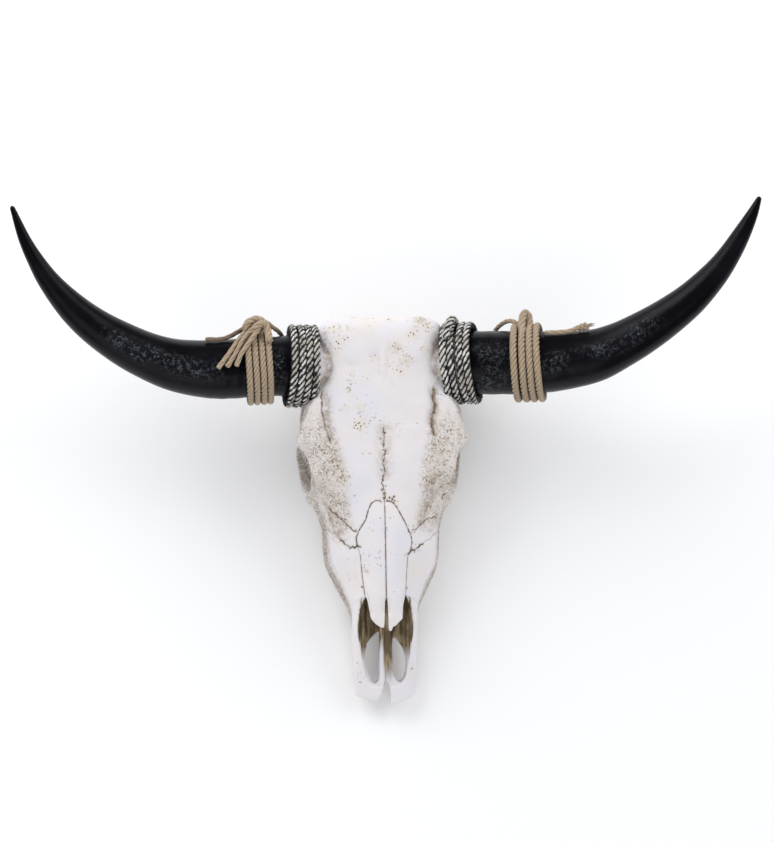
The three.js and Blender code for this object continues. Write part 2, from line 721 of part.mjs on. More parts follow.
// The knots and tails, each clear of what it lies on.
function tyings() {
  const made = {};
  for (const [side, name] of [[-1, "left"], [1, "right"]]) {
    const { lump, strand } = KNOTS[name];
    const below = [hornRoom(side), windingRoom(side, LASHINGS[name])];
    const [middle, radii] = lump;
    made["knot_" + name] = largest(cut(ball(middle, radii, 10, 6).add(limb(strand, 6, 4)), below));
    const room = ball(middle, radii.map((radius) => radius + GAP), 10, 6);
    for (const key of Object.keys(TAILS).filter((k) => k.includes(name))) {
      made[key] = largest(cut(tail(TAILS[key]), [...below, room]));
    }
  }
  return made;
}

// ---------- The model ----------
const FACE_TO_ROW = new THREE.Matrix4().makeBasis(
  new THREE.Vector3(1, 0, 0),
  new THREE.Vector3(0, -Math.cos(FACE_TILT), -Math.sin(FACE_TILT)),
  new THREE.Vector3(0, Math.sin(FACE_TILT), -Math.cos(FACE_TILT)),
);
FACE_TO_ROW.setPosition(0, 0, POLL_HEIGHT);

// Turns a solid from the face frame to the row frame and trims it flat at the floor.
function settle(solid) {
  const turned = solidOf(geometryOf(solid).applyMatrix4(FACE_TO_ROW));
  return turned.subtract(block([-600, -700, -100], [600, 400, 0]));
}

function mesh(name, solid, look) {
  const [color, roughness] = COLOURS[look];
  const made = new THREE.Mesh(geometryOf(solid), new THREE.MeshStandardMaterial({ color, roughness }));
  made.name = name;
  return made;
}

const skull = new THREE.Group();
skull.name = "cow_skull";
for (const [name, solid] of Object.entries(bones())) {
  skull.add(mesh(name, settle(solid), "bone"));
}
for (const [side, name] of [[-1, "left"], [1, "right"]]) {
  skull.add(mesh("horn_" + name, settle(horn(side)), "horn"));
  skull.add(mesh("band_" + name, settle(winding(side, BANDS[name])), "rope"));
  skull.add(mesh("lashing_" + name, settle(winding(side, LASHINGS[name])), "jute"));
}
for (const [name, solid] of Object.entries(tyings())) {
  skull.add(mesh(name, settle(solid), "jute"));
}

// The origin is in the middle of the skull's and horns' base, so the loose ends of the cord don't count.
const extent = new THREE.Box3();
for (const child of skull.children.filter(({ name }) => !name.startsWith("tail"))) {
  extent.expandByObject(child, true);
}
const middle = extent.getCenter(new THREE.Vector3());
skull.position.set(-middle.x, -middle.y, 0);

export default skull;
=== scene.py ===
"""A life-size skull of a long-horned cow, lying face up, with rope bands and jute lashings on its horns."""
import math

import bpy
import numpy as np
from mathutils import Matrix, Vector


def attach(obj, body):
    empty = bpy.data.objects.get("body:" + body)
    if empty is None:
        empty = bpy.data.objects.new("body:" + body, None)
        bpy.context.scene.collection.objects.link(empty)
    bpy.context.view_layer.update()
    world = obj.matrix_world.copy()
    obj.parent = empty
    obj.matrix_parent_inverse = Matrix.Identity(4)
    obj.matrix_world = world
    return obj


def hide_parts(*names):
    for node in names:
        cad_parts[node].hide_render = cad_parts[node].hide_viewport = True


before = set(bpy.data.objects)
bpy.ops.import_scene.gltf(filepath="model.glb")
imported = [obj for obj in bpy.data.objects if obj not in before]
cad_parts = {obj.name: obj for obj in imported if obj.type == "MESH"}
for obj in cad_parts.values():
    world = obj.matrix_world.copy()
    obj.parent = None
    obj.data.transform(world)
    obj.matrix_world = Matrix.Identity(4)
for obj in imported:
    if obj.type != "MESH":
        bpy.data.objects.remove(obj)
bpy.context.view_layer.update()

# ---------- The face frame ----------
# The bones are modelled in millimetres in the face frame: u across the head, v from the poll to the muzzle,
# and w from the plane of the forehead down into the head. to_row() puts them in the row frame, in metres.
FACE_TILT = math.radians(12)
POLL = np.array([-9.979, 173.518, 180.0])
ACROSS = np.array([1.0, 0.0, 0.0])
ALONG = np.array([0.0, -math.cos(FACE_TILT), -math.sin(FACE_TILT)])
DOWN = np.array([0.0, math.sin(FACE_TILT), -math.cos(FACE_TILT)])
FACE_AXES = np.array([ACROSS, ALONG, DOWN])

SKULL_LENGTH = 495
ORBIT = {
    "u": 95, "v": 186, "w": 51, "radius": 32, "rim": 10, "depth": 50, "forward": 0.13, "down": 0.18,
}
TOOTH_ROW = {
    "front": 368, "back": 240, "crown": 24, "half_width": 10.5, "front_half": 40, "back_half": 59,
}
TEETH = [16, 16, 17, 22, 26, 29]
CAVITY_FLOOR = 72
SLOTS = [
    [
        (-4.5, 399), (-14, 407), (-23, 417), (-25.5, 428), (-24.5, 442), (-21, 455), (-15, 465),
        (-10, 463), (-8, 448), (-7, 423),
    ],
    [
        (12, 406), (19, 413), (24.5, 422), (27, 436), (26.5, 449), (24, 459), (18, 465), (13.5, 459),
        (12, 446), (11, 423),
    ],
]
SUTURE = 0.45
CLEARANCE = 0.3
WELD_DISTANCE = 0.01
REST_LEVEL = 0.0004

ROOT_END = 111
# What is wound round the horns. A turn lies further out by lean for each millimetre towards the muzzle, and
# by tip for each millimetre deeper than the horn's axis, which lies at depth there.
BANDS = {
    -1: {
        "start": 80.8, "end": 118.4, "thickness": 9.8, "inner": 43.2, "lean": 0.055, "tip": -0.06,
        "depth": 42,
    },
    1: {
        "start": 85.4, "end": 125.4, "thickness": 9.8, "inner": 43.2, "lean": 0.065, "tip": 0.15,
        "depth": 42,
    },
}
LASHINGS = {
    -1: {"start": 136.4, "thickness": 8.2, "inner": 39.4, "lean": 0.0, "tip": -0.12, "depth": 34},
    1: {"start": 169.6, "thickness": 9.2, "inner": 41.5, "lean": 0.03, "tip": 0.12, "depth": 29},
}
BAND_LAY = 34.4
JUTE_LAY = 26.0
TAIL_LAY = 34.0
TAIL = 6.0
WINDING_STEP = 0.9

# The horns' centrelines and radii: u, v, w, r.
HORNS = {
    -1: [
        (60, 59.5, 48, 41), (90, 59.5, 43.5, 40.8), (124, 59, 38, 38.2), (165, 60.5, 32, 37.9),
        (205, 61.9, 27, 37.4), (235, 59.5, 22.5, 35.2), (264, 53.5, 17, 32.2), (293, 42.6, 10.5, 29.2),
        (321, 28.1, 3, 26.7), (350, 9.5, -6, 23.4), (378, -14.4, -16.5, 19.4), (405, -46.5, -28.4, 14),
        (420, -71, -36, 10.8), (433, -98, -43, 7.8), (447, -138, -52, 3),
    ],
    1: [
        (60, 59.5, 48, 41), (90, 59.5, 43.5, 41), (124, 59.5, 38, 40.6), (165, 60.5, 32, 40.4),
        (213, 60.6, 26, 39.2), (240, 58.6, 21.5, 37), (273, 53.3, 15, 33.6), (303, 41.4, 8, 29.8),
        (332, 25.9, 0, 27.2), (361, 7.4, -10, 24.3), (389, -14.6, -21.5, 21.2),
        (417, -44.5, -34.5, 17.2), (431, -64.2, -42, 14.6), (445, -88.1, -50, 11.8),
        (458, -114.3, -59, 7.6), (467, -136, -65, 3),
    ],
}
HORN_TIP = 3.0
SIDES = ((-1, "left"), (1, "right"))


def to_row(points):
    return (np.asarray(points, float) @ FACE_AXES + POLL) / 1000


def from_row(points):
    return (np.asarray(points, float) * 1000 - POLL) @ FACE_AXES.T


# ---------- Camera ----------
CAMERA = {"aim": (5.5, 131, 10), "turn": 4.5, "roll": -1.25, "distance": 2.49, "lens": 85, "sensor": 36}


def set_camera():
    aim = Vector(to_row(CAMERA["aim"]))
    turn = math.radians(CAMERA["turn"])
    back = Vector(-DOWN * math.cos(turn) - ACROSS * math.sin(turn))
    right = Vector(-ALONG).cross(back).normalized()
    up = back.cross(right)
    camera = bpy.data.objects.new("camera", bpy.data.cameras.new("camera"))
    bpy.context.scene.collection.objects.link(camera)
    camera.data.lens = CAMERA["lens"]
    camera.data.sensor_width = CAMERA["sensor"]
    facing = Matrix((right, up, back)).transposed().to_4x4()
    level = Matrix.Rotation(math.radians(CAMERA["roll"]), 4, "Z")
    camera.matrix_world = Matrix.Translation(aim + back * CAMERA["distance"]) @ facing @ level
    bpy.context.scene.camera = camera


# ---------- Numbers on curves ----------
def ramp(t):
    t = np.clip(t, 0, 1)
    return t * t * (3 - 2 * t)


def rise(value, low, high):
    return ramp((value - low) / (high - low))


def smooth_value(at, values, where):
    """Values between stations, on a smooth curve through them."""
    at, values = np.asarray(at, float), np.asarray(values, float)
    before = np.maximum(np.arange(len(at)) - 1, 0)
    after = np.minimum(np.arange(len(at)) + 1, len(at) - 1)
    slopes = (values[after] - values[before]) / (at[after] - at[before])
    i = np.clip(np.searchsorted(at, where) - 1, 0, len(at) - 2)
    h = at[i + 1] - at[i]
    t = np.clip((where - at[i]) / h, 0, 1)
    bend = h * slopes[i] * t * (1 - t) ** 2 - h * slopes[i + 1] * t * t * (1 - t)
    return values[i] + (values[i + 1] - values[i]) * ramp(t) + bend


def blended(ends, at, t):
    return ((at[1] - t) * ends[0] + (t - at[0]) * ends[1]) / (at[1] - at[0])


def lengths_along(line):
    """How far along a line each of its points lies."""
    return np.concatenate([[0], np.cumsum(np.linalg.norm(np.diff(line[:, :3], axis=0), axis=1))])


def curve_through(points, step=1.0):
    """Evenly spaced points on a centripetal curve through points of any number of coordinates."""
    points = np.asarray(points, float)
    points = np.vstack([2 * points[0] - points[1], points, 2 * points[-1] - points[-2]])
    knots = np.concatenate([[0], np.cumsum(np.linalg.norm(np.diff(points[:, :3], axis=0), axis=1) ** 0.5)])
    found = []
    for i in range(1, len(points) - 2):
        t = np.linspace(knots[i], knots[i + 1], 40, endpoint=False)[:, None]
        at = knots[i - 1:i + 3]
        first, second, third = (blended(points[i + j - 1:i + j + 1], at[j:j + 2], t) for j in range(3))
        early = blended((first, second), (at[0], at[2]), t)
        late = blended((second, third), (at[1], at[3]), t)
        found.append(blended((early, late), (at[1], at[2]), t))
    found.append(points[-2][None])
    dense = np.vstack(found)
    length = lengths_along(dense)
    wanted = np.linspace(0, length[-1], max(int(round(length[-1] / step)), 2) + 1)
    return np.stack([np.interp(wanted, length, column) for column in dense.T], 1)


def directions(line):
    ahead = np.gradient(line[:, :3], axis=0)
    return ahead / np.linalg.norm(ahead, axis=1)[:, None]


def lumps(points, size, seed):
    """Smooth random values from -1 to 1, with bumps of about a given size."""
    lattice = np.random.default_rng(seed).uniform(-1, 1, (48, 48, 48))
    place = points / size
    corner = np.floor(place).astype(int)
    part = ramp(place - corner)
    total = np.zeros(len(points))
    for step in np.ndindex(2, 2, 2):
        share = np.prod(np.where(step, part, 1 - part), axis=1)
        i, j, k = ((corner + step) % 48).T
        total += share * lattice[i, j, k]
    return total


def distance_to(points, line):
    """The distance of each point to a line, and how far along the line its nearest spot is, 0 to 1."""
    best = np.full(len(points), 1e9)
    where = np.zeros(len(points))
    for i in range(len(line) - 1):
        a, b = np.asarray(line[i], float), np.asarray(line[i + 1], float)
        t = np.clip((points - a) @ (b - a) / max((b - a) @ (b - a), 1e-9), 0, 1)
        d = np.linalg.norm(points - a - t[:, None] * (b - a), axis=1)
        where = np.where(d < best, (i + t) / (len(line) - 1), where)
        best = np.minimum(best, d)
    return best, where


# ---------- Modelling ----------
def select_only(piece):
    bpy.ops.object.select_all(action="DESELECT")
    piece.select_set(True)
    bpy.context.view_layer.objects.active = piece


def in_edit_mode(piece, work):
    select_only(piece)
    bpy.ops.object.mode_set(mode="EDIT")
    bpy.ops.mesh.select_all(action="SELECT")
    work()
    bpy.ops.object.mode_set(mode="OBJECT")


def triples(values, name):
    """A value of three numbers for each item of a mesh."""
    flat = np.empty(len(values) * 3, np.float32)
    values.foreach_get(name, flat)
    return flat.reshape(-1, 3).astype(float)


def vertices(piece):
    return triples(piece.data.vertices, "co")


def move_vertices(piece, points):
    piece.data.vertices.foreach_set("co", np.asarray(points, np.float32).ravel())
    piece.data.update()


def normals(piece):
    return triples(piece.data.vertex_normals, "vector")


def open_rows(row, rows):
    """0 on the first and the last row of a skin, which close to a point each, and 1 between them."""
    return np.where((row == 0) | (row == rows), 0, 1)


def points_round(centre, side, over, reach, angle):
    """Points round the centres of a line, at a distance and an angle, in two directions across it."""
    return centre + side * (reach * np.cos(angle))[:, None] + over * (reach * np.sin(angle))[:, None]


def skin(name, rows, columns, place, marks=None):
    """A closed skin: a grid of rows and columns whose vertices go where place(row, around) says. place may
    leave values for the vertices in marks."""
    bpy.ops.mesh.primitive_grid_add(x_subdivisions=rows, y_subdivisions=columns, size=2)
    piece = bpy.context.object
    piece.name = name
    along, around = (vertices(piece)[:, :2].T + 1) / 2
    move_vertices(piece, place(np.round(along * rows).astype(int), np.round(around * columns) / columns))
    for key, values in (marks or {}).items():
        mark(piece, key, values)

    def close():
        bpy.ops.mesh.remove_doubles(threshold=WELD_DISTANCE)
        bpy.ops.mesh.normals_make_consistent(inside=False)

    in_edit_mode(piece, close)
    return piece


def ringed(name, stations, square, rows=60, columns=64):
    """A body through rings across v: v, top, bottom, and the half widths above, in the middle and below."""
    table = np.asarray(stations, float)

    def place(row, around):
        v = np.interp(np.clip(row - 1, 0, rows - 2), [0, rows - 2], [table[0, 0], table[-1, 0]])
        top, bottom, upper, middle, lower = (smooth_value(table[:, 0], table[:, k], v) for k in range(1, 6))
        reach = open_rows(row, rows)
        cos, sin = np.cos(2 * np.pi * around), np.sin(2 * np.pi * around)
        depth = (1 - np.sign(cos) * np.abs(cos) ** (2 / square) * reach) / 2
        side = np.sign(sin) * np.abs(sin) ** (2 / square) * reach
        below = 1 - depth
        half = below * (below - depth) * upper + depth * (depth - below) * lower
        half += 4 * depth * below * middle
        return np.stack([half * side, v, top + (bottom - top) * depth], 1)

    return skin(name, rows, columns, place)


def around_line(name, line, columns, section):
    """A skin round a line of points. section(row, angle) gives the distance from the line."""
    rows = len(line) + 1
    ahead = directions(line)
    side = np.cross(ahead, (0, 0, 1.0))
    side /= np.linalg.norm(side, axis=1)[:, None]
    over = np.cross(side, ahead)

    def place(row, around):
        i = np.clip(row - 1, 0, len(line) - 1)
        angle = 2 * np.pi * around
        reach = section(i, angle) * open_rows(row, rows)
        return points_round(line[i, :3], side[i], over[i], reach, angle)

    return skin(name, rows, columns, place)


def limb(name, points, squash=1.0):
    """A round limb along points that each give u, v, w and a radius."""
    line = curve_through(points, 3.0)

    def section(i, angle):
        return line[i, 3] / np.hypot(np.cos(angle) / squash, np.sin(angle))

    return around_line(name, line, 32, section)


def ball(name, centre, radii, segments=40):
    bpy.ops.mesh.primitive_uv_sphere_add(segments=segments, ring_count=segments // 2, radius=1)
    piece = bpy.context.object
    piece.name = name
    move_vertices(piece, vertices(piece) * radii + centre)
    return piece


def prism(name, outline, low, high, axis="w"):
    """A straight block over an outline: across u and v, or across v and w when it runs along u."""
    bpy.ops.mesh.primitive_circle_add(vertices=len(outline), radius=1, fill_type="NGON")
    piece = bpy.context.object
    piece.name = name
    flat = np.asarray(outline, float)
    start = np.full((len(flat), 1), float(low))
    run = (0, 0, high - low) if axis == "w" else (high - low, 0, 0)
    move_vertices(piece, np.hstack([flat, start] if axis == "w" else [start, flat]))

    def raise_walls():
        bpy.ops.mesh.extrude_region_move(TRANSFORM_OT_translate={"value": run})
        bpy.ops.mesh.select_all(action="SELECT")
        bpy.ops.mesh.quads_convert_to_tris()
        bpy.ops.mesh.normals_make_consistent(inside=False)

    in_edit_mode(piece, raise_walls)
    return piece


def mirrored(points, side):
    return [(side * point[0], *point[1:]) for point in points]


def both_sides(make):
    return [make(-1), make(1)]


def apply_modifier(piece, kind, **settings):
    select_only(piece)
    modifier = piece.modifiers.new(kind.lower(), kind)
    for key, value in settings.items():
        setattr(modifier, key, value)
    bpy.ops.object.modifier_apply(modifier=modifier.name)
    return piece


def joined(name, pieces):
    bpy.ops.object.select_all(action="DESELECT")
    for piece in pieces:
        piece.select_set(True)
    bpy.context.view_layer.objects.active = pieces[0]
    bpy.ops.object.join()
    pieces[0].name = name
    return pieces[0]


def discard(piece):
    mesh = piece.data
    bpy.data.objects.remove(piece)
    bpy.data.meshes.remove(mesh)


def combined(piece, tool, operation):
    apply_modifier(piece, "BOOLEAN", operation=operation, object=tool, solver="MANIFOLD")
    discard(tool)
    return piece


def copy_of(piece, name):
    made = piece.copy()
    made.data = piece.data.copy()
    made.name = name
    bpy.context.scene.collection.objects.link(made)
    return made


def remeshed(piece, size, smoothing):
    apply_modifier(piece, "REMESH", mode="VOXEL", voxel_size=size)
    apply_modifier(piece, "SMOOTH", factor=0.5, iterations=smoothing)
    return piece


# ---------- Masses of the skull ----------
FOREHEAD = [
    (0, 17, 40, 55, 57, 52), (4, 8, 46, 67, 68, 58), (14, 1, 56, 76, 77, 62), (34, -1, 62, 75, 76, 60),
    (62, 0, 58, 74, 74, 54), (93, 1, 46, 80, 82, 54), (115, 2, 40, 92, 96, 58),
    (142, 3, 36, 97, 102, 64), (155, 4, 34, 100, 108.5, 68), (170, 4, 34, 88, 96, 60),
    (197, 4.3, 40, 74, 82, 60), (232, 7, 46, 52, 60, 50),
]
BRAINCASE = [
    (12, 24, 128, 60, 60, 48), (60, 28, 136, 56, 60, 52), (110, 28, 126, 50, 50, 36),
    (190, 24, 116, 48, 44, 30),
]
NAPE = [
    (7, 44, 124, 46, 66, 50), (14, 40, 130, 54, 82, 62), (30, 40, 134, 56, 88, 66),
    (56, 46, 130, 50, 70, 56),
]
FACE = [
    (160, 20, 114, 50, 50, 38), (196, 6, 118, 72, 85, 54), (222, 4.8, 118, 64, 88, 64),
    (242, 4, 116, 52, 78.5, 67), (280, 5, 112, 38, 73, 68), (314, 7, 106, 30, 68, 66),
    (334, 9, 101, 27, 57, 56), (358, 12, 96, 25, 47, 48), (380, 18, 91, 22, 40.5, 44),
    (398, 34, 80, 16, 34, 36),
]
MUZZLE = [
    (352, 20, 94, 40, 42, 44), (400, 32, 85, 41, 42, 42), (450, 46, 76, 38, 40.5, 36),
    (SKULL_LENGTH, 55, 70, 36, 38.5, 31),
]
NASAL_CAVITY = [
    (262, 26, 64, 10, 16, 10), (300, 16, 72, 20, 29, 20), (350, 14, CAVITY_FLOOR + 2, 24, 31, 24),
    (372, 6, CAVITY_FLOOR, 30, 33, 26), (400, 4, CAVITY_FLOOR - 2, 31, 33.5, 26),
    (425, 2, CAVITY_FLOOR - 4, 29, 31, 26), (456, 12, CAVITY_FLOOR - 12, 26, 28, 23),
    (468, 26, CAVITY_FLOOR - 18, 21, 24, 20),
]
NASAL_ROOF = [
    (322, 14, 22, 26, 29, 29), (342, 10.8, 20, 27, 30.5, 31), (366, 12, 21, 26, 31, 31),
    (400, 17.2, 23, 24, 31, 31),
]
MOUTH_ROOF = [
    (225, 106, 150, 22, 36, 40), (262, 104, 140, 26, 39, 42), (330, 92, 130, 20, 33, 36),
    (372, 85, 120, 18, 26, 29), (400, 83, 110, 12, 20, 24),
]
CHEEK_ARCH = [
    (60, 326, 74, 5), (66, 302, 78, 10), (69, 262, 81, 12), (76, 241, 83, 13), (87, 226, 85, 13),
    (94, 205, 88, 11), (95.5, 178, 92, 10), (95, 148, 95, 9.5), (92, 116, 99, 9.5), (81, 86, 104, 10),
    (48, 62, 108, 14),
]


# The size of the voxels and the rounds of smoothing, each time that the skull is made one skin.
REMESH = {"masses": (1.8, 14), "hollowed": (1.4, 5), "grown": (1.15, 2)}


def floor_depth(v):
    """How deep the floor lies under the forehead's plane."""
    return POLL[2] / math.cos(FACE_TILT) - v * math.tan(FACE_TILT)


def at_orbit(name, profile, side):
    """A turned shape round the eye socket's axis, which points out of the head. The profile gives distances
    from the axis and places on it."""
    profile = np.asarray(profile, float)
    rows = len(profile) - 1

    def place(row, around):
        reach, out = profile[row].T
        angle = 2 * np.pi * around
        u, v, w = out, reach * np.cos(angle), reach * np.sin(angle)
        forward, down = ORBIT["forward"], ORBIT["down"]
        u, v = u * math.cos(forward) - v * math.sin(forward), u * math.sin(forward) + v * math.cos(forward)
        u, w = u * math.cos(down) + w * math.sin(down), w * math.cos(down) - u * math.sin(down)
        return np.stack([side * (u + ORBIT["u"]), v + ORBIT["v"], w + ORBIT["w"]], 1)

    return skin(name, rows, 48, place)


def socket_wall(side):
    outer = ORBIT["radius"] + ORBIT["rim"]
    deep = -ORBIT["depth"]
    wall = [(0, deep), (outer - 5, deep), (outer, -4), (outer - 4, 4), (0, 4)]
    return at_orbit("socket_wall", wall, side)


def socket(side):
    radius = ORBIT["radius"]
    floor = 4 - ORBIT["depth"]
    bowl = [(0, floor), (8, floor), (16, floor + 2), (23, -34), (27, -26), (30, -17)]
    bowl += [(radius, -6), (radius, 12), (0, 12)]
    return at_orbit("socket", bowl, side)


def underside(side):
    """The condyle, the hooked process that the skull rests on, the ear bulla, and the bars of the base."""
    return [
        ball("condyle", (side * 26, 14, 126), (19, 20, 23)),
        limb("hook", mirrored([(58, 38, 108, 22), (56, 36, 146, 16), (52, 31, 186, 9)], side), squash=0.7),
        ball("bulla", (side * 40, 70, 132), (13, 19, 20)),
        limb("base_bar", mirrored([(17, 28, 134, 14), (15, 90, 124, 12), (13, 170, 112, 12)], side)),
        prism("wing", mirrored([(15, 172), (22, 166), (31, 236), (20, 246)], side), 96, 123),
    ]


def tooth_ridge(side):
    low = [
        (34, 388, 5, 6), (39, 364, 8, 10), (46, 342, 10, 14), (56, 312, 12, 17), (58, 276, 13, 17),
        (55, 236, 14, 14),
    ]
    points = [(u, v, floor_depth(v) - TOOTH_ROW["crown"] - up, r) for u, v, up, r in low]
    return limb("tooth_ridge", mirrored(points, side))


def cheek_teeth(side):
    """Six cheek teeth of one to two lobes, worn flat where they meet the floor."""
    made = []
    row_length = sum(TEETH)
    v = TOOTH_ROW["front"]
    for length in TEETH:
        lobes = 2 if length > 20 else 1
        width = TOOTH_ROW["half_width"] * (1 if lobes == 2 else 0.82)
        for lobe in range(lobes):
            middle_v = v - length * (lobe + 0.5) / lobes
            share = rise(middle_v, TOOTH_ROW["back"], TOOTH_ROW["back"] + row_length)
            u = TOOTH_ROW["back_half"] + (TOOTH_ROW["front_half"] - TOOTH_ROW["back_half"]) * share
            low = floor_depth(middle_v) + 8
            radius = length / lobes * 0.5
            stations = [(72, 0.86), (low - 40, 0.94), (low - 20, 1), (low, 1)]
            made.append(tooth_lobe(side, (u, middle_v), (width, radius), stations))
        v -= length
    return made


def tooth_lobe(side, middle, halves, stations):
    """One column of a tooth, with a rib down its cheek side."""
    depths, sizes = np.array(stations).T
    rows = len(depths) + 1

    def place(row, around):
        i = np.clip(row - 1, 0, len(depths) - 1)
        angle = 2 * np.pi * around
        rib = 0.08 * np.cos(angle) ** 8 * (np.cos(angle) > 0)
        reach = sizes[i] * (1 + rib) * open_rows(row, rows)
        squared = (np.abs(np.cos(angle)) ** 2.6 + np.abs(np.sin(angle)) ** 2.6) ** (-1 / 2.6)
        u = side * (middle[0] + halves[0] * reach * squared * np.cos(angle))
        return np.stack([u, middle[1] + (halves[1] + 0.4) * reach * squared * np.sin(angle), depths[i]], 1)

    return skin("tooth_lobe", rows, 28, place)


def horn_line(side, step=2.0):
    return curve_through(mirrored(HORNS[side], side), step)


def leaning(points, side, wound):
    """Leans and tips what is wound round the horn."""
    moved = np.array(points, float)
    lean = wound["lean"] * (moved[:, 1] - HORNS[side][0][1])
    moved[:, 0] += side * (lean + wound["tip"] * (moved[:, 2] - wound["depth"]))
    return moved


def winding_room(side, reach_out=60.0):
    """The room that a band takes up round the horn, grown outwards so that it clears the bone beside it."""
    band = BANDS[side]
    line = horn_line(side)
    start = band["start"] - CLEARANCE
    end = band["end"] + CLEARANCE + reach_out
    line = line[(np.abs(line[:, 0]) >= start) & (np.abs(line[:, 0]) <= end)]
    reach = band["inner"] + band["thickness"] + CLEARANCE
    room = around_line("winding_room", line, 48, lambda i, angle: np.full(len(angle), reach))
    move_vertices(room, leaning(vertices(room), side, band))
    return room


def horn_root(side):
    line = horn_line(side)
    line = line[np.abs(line[:, 0]) <= ROOT_END]
    return around_line("horn_root", line, 48, lambda i, angle: line[i, 3])


def mouth_hollows():
    throat = prism("throat", [(-14, 160), (14, 160), (19, 246), (-19, 246)], 92, 170)
    return [ringed("mouth_roof", MOUTH_ROOF, 2.4), throat]


def nape_hollows():
    canal = [(0, -4, 110, 17), (0, 20, 110, 15.5), (0, 38, 110, 13.6)]
    shallow = both_sides(lambda side: ball("nape_hollow", (side * 32, 6, 72), (26, 8, 24)))
    return [limb("spinal_canal", canal), *shallow]


def nasal_hollow():
    """The nasal cavity, open to the front, with a keel left standing along its floor."""
    keel = [(-5, 290), (5, 290), (8.8, 400), (10.5, 474), (-8, 474), (-6.8, 400)]
    hollow = ringed("nasal_hollow", NASAL_CAVITY, 3.4)
    return combined(hollow, prism("keel", keel, 56, 80), "DIFFERENCE")


def muzzle_trims():
    """The front edges of the premaxillae, of which the right one is longer, and the notch between them."""
    beyond = SKULL_LENGTH + 20
    notch = [
        (-1.5, 464), (0.5, 463), (3, 464), (5, 470), (6, 480), (5.4, 490), (5, beyond), (-3.5, beyond),
        (-3, 478),
    ]
    left = [
        (-60, 472), (-42, 477), (-39.6, 480), (-37, 482.4), (-30, 483.4), (-24, 484.6), (-17, 487.6),
        (-11, 487.6), (-8.4, 484), (-5, 476), (-2, 466), (-2, beyond), (-60, beyond),
    ]
    right = [
        (60, 468), (41, 476.6), (38, 480), (33, 483.4), (27, 486.6), (17, 491), (9, 494.4), (5, 494.6),
        (3, 492), (3, beyond), (60, beyond),
    ]
    return [prism("muzzle_trim", outline, 20, 100) for outline in (notch, left, right)]


def nasal_roof(side):
    """The front of a nasal bone, which stands free over the nasal cavity."""
    outline = shrunk(nasal_outline(side), 0.9)
    plate = ringed("nasal_roof", NASAL_ROOF, 2.6)
    return combined(plate, prism("nasal_roof_outline", outline, -20, 40), "INTERSECT")


def under_floor():
    """All that lies under the surface that the skull rests on."""
    bpy.ops.mesh.primitive_cube_add(size=1)
    block = bpy.context.object
    corners = vertices(block) * (1.4, 1.4, 0.2) - (0, 0, 0.1)
    move_vertices(block, from_row(corners))
    return block


def whole_skull():
    masses = [
        ringed("forehead", FOREHEAD, 3.2, rows=90, columns=96),
        ringed("braincase", BRAINCASE, 2.8),
        ringed("nape", NAPE, 2.5),
        ringed("face", FACE, 2.8, rows=90, columns=80),
        ringed("muzzle", MUZZLE, 4.5),
        *both_sides(socket_wall),
        *both_sides(lambda side: limb("cheek", mirrored(CHEEK_ARCH, side), squash=0.75)),
        *both_sides(tooth_ridge),
    ]
    for side in (-1, 1):
        masses += underside(side)
    skull = remeshed(joined("skull", masses), *REMESH["masses"])
    hollows = [nasal_hollow(), *mouth_hollows(), *both_sides(socket), *nape_hollows(), *muzzle_trims()]
    hollows += both_sides(lambda side: ball("temple", (side * 76, 122, 68), (21, 40, 27)))
    hollows += [prism("palate_slot", line_of([*slot, slot[0]], 3.0)[:-1], 40, 110) for slot in SLOTS]
    for hollow in hollows:
        combined(skull, hollow, "DIFFERENCE")
    skull = remeshed(skull, *REMESH["hollowed"])
    for side in (-1, 1):
        combined(skull, winding_room(side), "DIFFERENCE")
    grown = [*both_sides(horn_root), *both_sides(nasal_roof), *cheek_teeth(-1), *cheek_teeth(1)]
    skull = joined("skull", [skull, *grown])
    skull = remeshed(skull, *REMESH["grown"])
    return combined(skull, under_floor(), "DIFFERENCE")


# ---------- Sculpting ----------
# Lines on the face: u, v, w.
BROW_GROOVES = [
    [
        (-75.5, 92, 2), (-76.2, 101, 3), (-75.2, 109, 4), (-76, 117, 4), (-74, 126, 4), (-73, 134, 4),
        (-70.5, 142, 4), (-66, 156, 5),
    ],
    [
        (66, 84, 3), (64.4, 93, 3), (63.2, 103, 4), (65.4, 112, 4), (64.2, 122, 4), (61.6, 130, 4),
        (60.5, 137, 4), (63.4, 144, 4), (65, 152, 5),
    ],
]
HORN_HOLLOWS = [
    [
        (-72, 24, 4), (-68.7, 39, 4), (-67.2, 55, 4), (-66.2, 63, 4), (-68.6, 74, 4), (-73.4, 81, 4),
        (-76, 90, 4),
    ],
    [(69.6, 28, 4), (70, 41, 4), (70.4, 57, 4), (71, 68, 4), (73, 80, 4)],
]
NASION_PITS = [
    (-0.5, 221), (-0.8, 227.5), (6.5, 227), (9.8, 229.4), (11.8, 226), (3.5, 231), (-6, 230.4),
]
BROW_HOLLOWS = [
    [(-71, 98, 4), (-69.6, 112, 4), (-71, 128, 4), (-69.2, 136, 4), (-66.5, 150, 4)],
    [(63.7, 89, 4), (65.8, 102, 4), (66.6, 112, 4), (63.7, 123, 4), (61.9, 134, 4), (63, 147, 4)],
]
